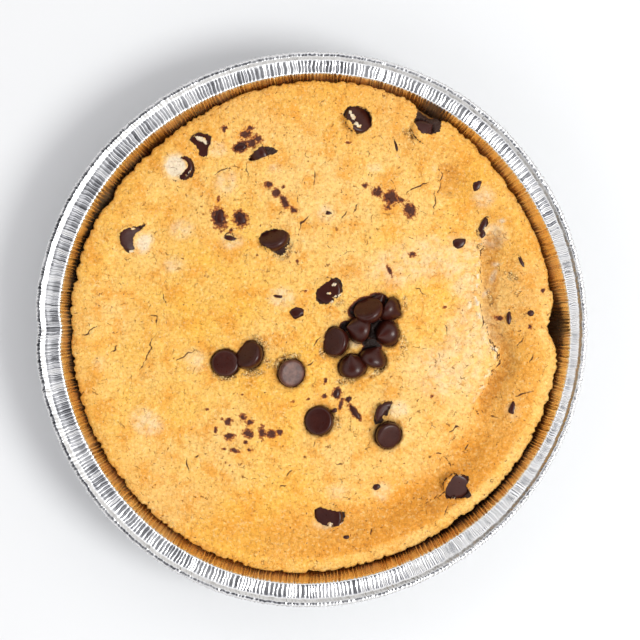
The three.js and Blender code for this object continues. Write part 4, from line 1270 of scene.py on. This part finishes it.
# %% [markdown]
# The crust browned most towards the edge. Down in the hollows, above all in the sunk ring at
# the lower right, it is more orange too, which is browning and painted shade. The west side of
# the sunk ring is painted lighter, which stands in for light, and the outermost rim at the
# lower right is paler. Holes get a dark brown halo, and the same colour is painted shade on
# the ledges' slopes and in the sunk ring at the lower right. Down the side, and at the very
# edge at the upper left, the dark colour is painted shade.

# %% Where the crust browned, with painted shade and painted light
# Painted shade: more orange in the sunk ring at the lower right. Painted light: less orange, so lighter, on
# the west side of the sunk ring.
SUNK_BROWN_SHADE_AND_LIGHT = [(175, 55, -0.35), (-58, 46, 0.75)]
RIM_PALE = [(-52, 55, -1.25)]
INNER_PALE = [(5, 45, -0.4)]
LOW_SHADE = [(-60, 42, 1.0), (20, 30, 0.5)]

in_trough = smoothstep(grid_share, 0.6, 0.85)
at_rim = smoothstep(grid_share, 0.93, 0.965)
half_way = smoothstep(grid_share, 0.2, 0.6) * (1 - smoothstep(grid_share, 0.7, 0.85))
browned_shade_and_light = (0.2 * smoothstep(grid_share, 0.88, 1.0) + 0.3 * smoothstep(grid_share, 0.68, 0.86)
           # the orange in the hollows is browning and painted shade
           + 0.5 * smoothstep(-relief, 0.35, 1.3)
           + bumps(grid_angle, SUNK_BROWN_SHADE_AND_LIGHT) * in_trough + bumps(grid_angle, RIM_PALE) * at_rim
           + bumps(grid_angle, INNER_PALE) * half_way)
hole_rim = np.exp(-(((hole - 0.15) / 0.55) ** 2)) + (hole < 0)
sunk_ring = smoothstep(grid_share, 0.72, 0.84) * (1 - smoothstep(grid_share, 0.925, 0.955))
# Painted shade: the ledges' slopes that face away from the window, and the sunk ring at the lower right, get
# the halo's dark brown.
shaded = 0.5 * ledge_shade + 0.27 * bumps(grid_angle, LOW_SHADE) * sunk_ring
halo_and_shade = np.maximum(np.exp(-((hole.clip(0) / 1.3) ** 2)) * 0.8, shaded)
print("mean browning", round(float(browned_shade_and_light.clip(0, 1).mean()), 2))

# %% Keep the fields on the mesh
# Painted shade: the cookie's side, and the last bit of the top's edge at the upper left, are coloured dark,
# most at the upper left, the left, the lower right and in the notches at the right.
SIDE_SHADE = [(158, 30, 0.9), (316, 26, 1.0), (184, 24, 0.55), (1.5, 7, 0.9), (61, 5, 0.9)]
EDGE_SHADE = [(156, 24, 0.5)]

edge_shade = (0.04 + bumps(grid_angle, EDGE_SHADE)) * smoothstep(grid_share, 0.992, 1.0)
side_angle = np.r_[np.tile(loop_angle, len(side_rings)), 0]
side_shade = (0.05 + bumps(side_angle, SIDE_SHADE)).clip(0, 1)
on_mesh = {  # the field's numbers on the top, and what it is on the side and base
    "browned_shade_and_light": (browned_shade_and_light.clip(0, 1), 1.0), "pale": (pale, 0.0), "crack": (crack_field, 0.0),
    "hole_rim": (hole_rim.clip(0, 1), 0.0), "stain": (stain.clip(-1, 2), -1.0), "window": (window, -3.0),
    "crater": (crater, 0.0), "side": (edge_shade, side_shade), "halo_and_shade": (halo_and_shade, 0.0),
}
rest = cookie_points.shape[0] - top_x.size
for name, (on_top, on_side) in on_mesh.items():
    keep_field(cookie, name, np.r_[on_top, np.full(rest, on_side)])
print(len(on_mesh), "fields kept on", cookie_points.shape[0], "points")

# %% [markdown]
# ## The chips' finish
# Dark baking chocolate is a deep red-brown and smooth, with the soft gloss of cocoa butter
# that has melted and set again: roughness 0.3. It is a little lighter in clouds of about
# 4 mm. A chip that got too warm has bloom, a dull grey-brown film of cocoa butter.

# %% Dark chocolate
CLOUD_SIZE, SPECK_SIZE = 4.0, 0.8  # in mm


def chocolate_material(name, colour, bloom, roughness):
    material = bpy.data.materials.new(name)
    material.use_nodes = True
    tree = material.node_tree
    shader = tree.nodes["Principled BSDF"]
    place = add_node(tree, "ShaderNodeTexCoord").outputs["Object"]
    cloud = add_node(tree, "ShaderNodeTexNoise", Vector=place, Scale=per_metre(CLOUD_SIZE),
                     Detail=4.0, Roughness=0.65)
    speck = add_node(tree, "ShaderNodeTexNoise", Vector=place, Scale=per_metre(SPECK_SIZE), Detail=2.0)
    amount = add_node(tree, "ShaderNodeMapRange", Value=cloud.outputs["Fac"], **{
        "From Min": 0.4, "From Max": 0.7, "To Min": 0.0, "To Max": 0.8})
    mixed = add_node(tree, "ShaderNodeMix", data_type="RGBA", i0=amount.outputs["Result"],
                     i6=linear(colour), i7=linear(bloom))
    tree.links.new(mixed.outputs[2], shader.inputs["Base Color"])
    gloss = add_node(tree, "ShaderNodeMapRange", Value=speck.outputs["Fac"], **{
        "From Min": 0.3, "From Max": 0.7, "To Min": roughness - 0.03, "To Max": roughness + 0.05})
    tree.links.new(gloss.outputs["Result"], shader.inputs["Roughness"])
    shader.inputs["Specular IOR Level"].default_value = 0.32
    uneven = add_node(tree, "ShaderNodeBump", Height=cloud.outputs["Fac"], Strength=0.25, Distance=0.4 * MM)
    tree.links.new(uneven.outputs["Normal"], shader.inputs["Normal"])
    return material


chocolate = chocolate_material("dark chocolate", "#330F08", "#401911", 0.3)
bloomed = chocolate_material("dark chocolate with bloom", "#4A2C26", "#7C5448", 0.4)
print("chocolate in", chocolate.name, "and", bloomed.name)

# %% Add the chips
BLOOMED_CHIP = "chip_row_right"

for name, (points, faces) in chip_shapes.items():
    piece = add_mesh(name + "_drop", points, faces, bloomed if name == BLOOMED_CHIP else chocolate)
    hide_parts(name)

# %% [markdown]
# ## Shards and crumbs
# Splinters of chocolate from the bottom of the bag baked into the top. Each is a low,
# angular lump set in the crust. Where the crust broke up round a chip it left loose crumbs
# of the paler inside. Both are made by roughening a small ball, and all the crumbs
# together are one mesh.

# %% A small ball, and the height of the top under it
def ball():
    """A round lump of 42 points, as points and triangles."""
    work = bmesh.new()
    bmesh.ops.create_icosphere(work, subdivisions=2, radius=1.0)
    points = np.array([list(v.co) for v in work.verts])
    faces = np.array([[v.index for v in f.verts] for f in work.faces])
    work.free()
    return points, faces


ball_points, ball_faces = ball()
top_faces = [tuple(f) for f in cookie_faces[:GRID * GRID]]
top_tree = BVHTree.FromPolygons([tuple(p) for p in top_points], top_faces)


def top_level(x, y):
    hit = top_tree.ray_cast(Vector((x, y, SKY)), DOWN)[0]
    return hit.z if hit is not None else float(level_at(x, y))


print("ball of", len(ball_points), "points")

# %% Shards of chocolate
SHARDS = [  # place, length, width, direction
    (57.8, 33.9, 5.6, 4.4, 20), (64.9, 57.0, 4.6, 3.2, 60), (67.6, 41.4, 7.0, 3.0, 65),
    (67.2, 37.6, 3.2, 2.4, 80), (79.0, -31.2, 5.2, 3.0, 80), (77.6, 4.5, 1.9, 5.0, 0),
    (85.9, 6.4, 3.0, 2.4, 0), (82.4, 26.6, 4.6, 1.5, -65),
    (-6.1, 6.5, 5.4, 4.4, 10), (9.4, -25.2, 3.6, 2.6, 70), (14.2, -27.4, 2.4, 1.8, 30),
    (16.8, -32.7, 6.4, 2.0, -52), (-36.7, 44.1, 6.4, 3.8, 100), (-28.4, 43.8, 5.0, 3.4, 120),
    (-32.5, 35.9, 5.4, 2.2, -12), (-13.4, 12.9, 4.0, 1.2, -6), (25.4, -62.3, 3.6, 2.8, 40),
    (13.3, -82.2, 3.0, 1.8, 0), (6.3, 45.9, 2.6, 1.6, 0), (-28.4, 72.2, 4.6, 3.0, 15),
    (33.0, 72.6, 4.4, 1.3, -75), (26.0, -45.6, 1.6, 1.2, 0), (8.6, -32.0, 2.4, 2.0, 30),
]
FACET = 2.6  # steps to a radius: a lump is moved half way onto this grid, so it gets flat faces
SHARD_FLATNESS = 0.45

shard_points, shard_faces = [], []
for number, (x, y, length, width, turn) in enumerate(SHARDS):
    lump = ball_points * (1 + 0.3 * rough(ball_points + number * 7, 0.9, 2, 3.0)[:, None])
    lump = np.round(lump * FACET) / FACET * 0.5 + lump * 0.5
    a = math.radians(turn)
    u, v = lump[:, 0] * length / 2, lump[:, 1] * width / 2
    placed = np.c_[x + u * math.cos(a) - v * math.sin(a), y + u * math.sin(a) + v * math.cos(a),
                   top_level(x, y) + lump[:, 2] * SHARD_FLATNESS]
    shard_faces.append(ball_faces + len(ball_points) * number)
    shard_points.append(placed)
add_mesh("chocolate_shards", np.concatenate(shard_points), np.concatenate(shard_faces).tolist(), chocolate)

# %% Crumbs
CRUMBS_PER_SQUARE_MM = 1.1
CLEAR_OF_CHIP = 4.3  # from the middle of a chip of size 1, in mm

crumb_finish = plain_material("inner crumb", "#EFC67C", 0.7)
crumb_points, crumb_faces = [], []
for cx, cy, length, width, turn in CRATERS:
    for _ in range(int(length * width * CRUMBS_PER_SQUARE_MM)):
        u, v = rng.normal(0, 0.42, 2) * [length / 2, width / 2]
        a = math.radians(turn)
        x, y = cx + u * math.cos(a) - v * math.sin(a), cy + u * math.sin(a) + v * math.cos(a)
        if min(math.hypot(x - chip[0], y - chip[1]) / chip[3] for chip in CHIPS.values()) < CLEAR_OF_CHIP:
            continue
        size = 0.13 + 0.2 * rng.random() ** 2
        shape = ball_points * size * rng.uniform(0.7, 1.2, 3)
        shape = shape * (1 + 0.3 * rough(ball_points + len(crumb_points) * 3, 0.8, 2, 1.0)[:, None])
        crumb_faces.append(ball_faces + len(ball_points) * len(crumb_points))
        crumb_points.append(shape + [x, y, top_level(x, y) + size * 0.4])
add_mesh("crumbs", np.concatenate(crumb_points), np.concatenate(crumb_faces).tolist(), crumb_finish)
print(len(SHARDS), "shards,", len(crumb_points), "crumbs")
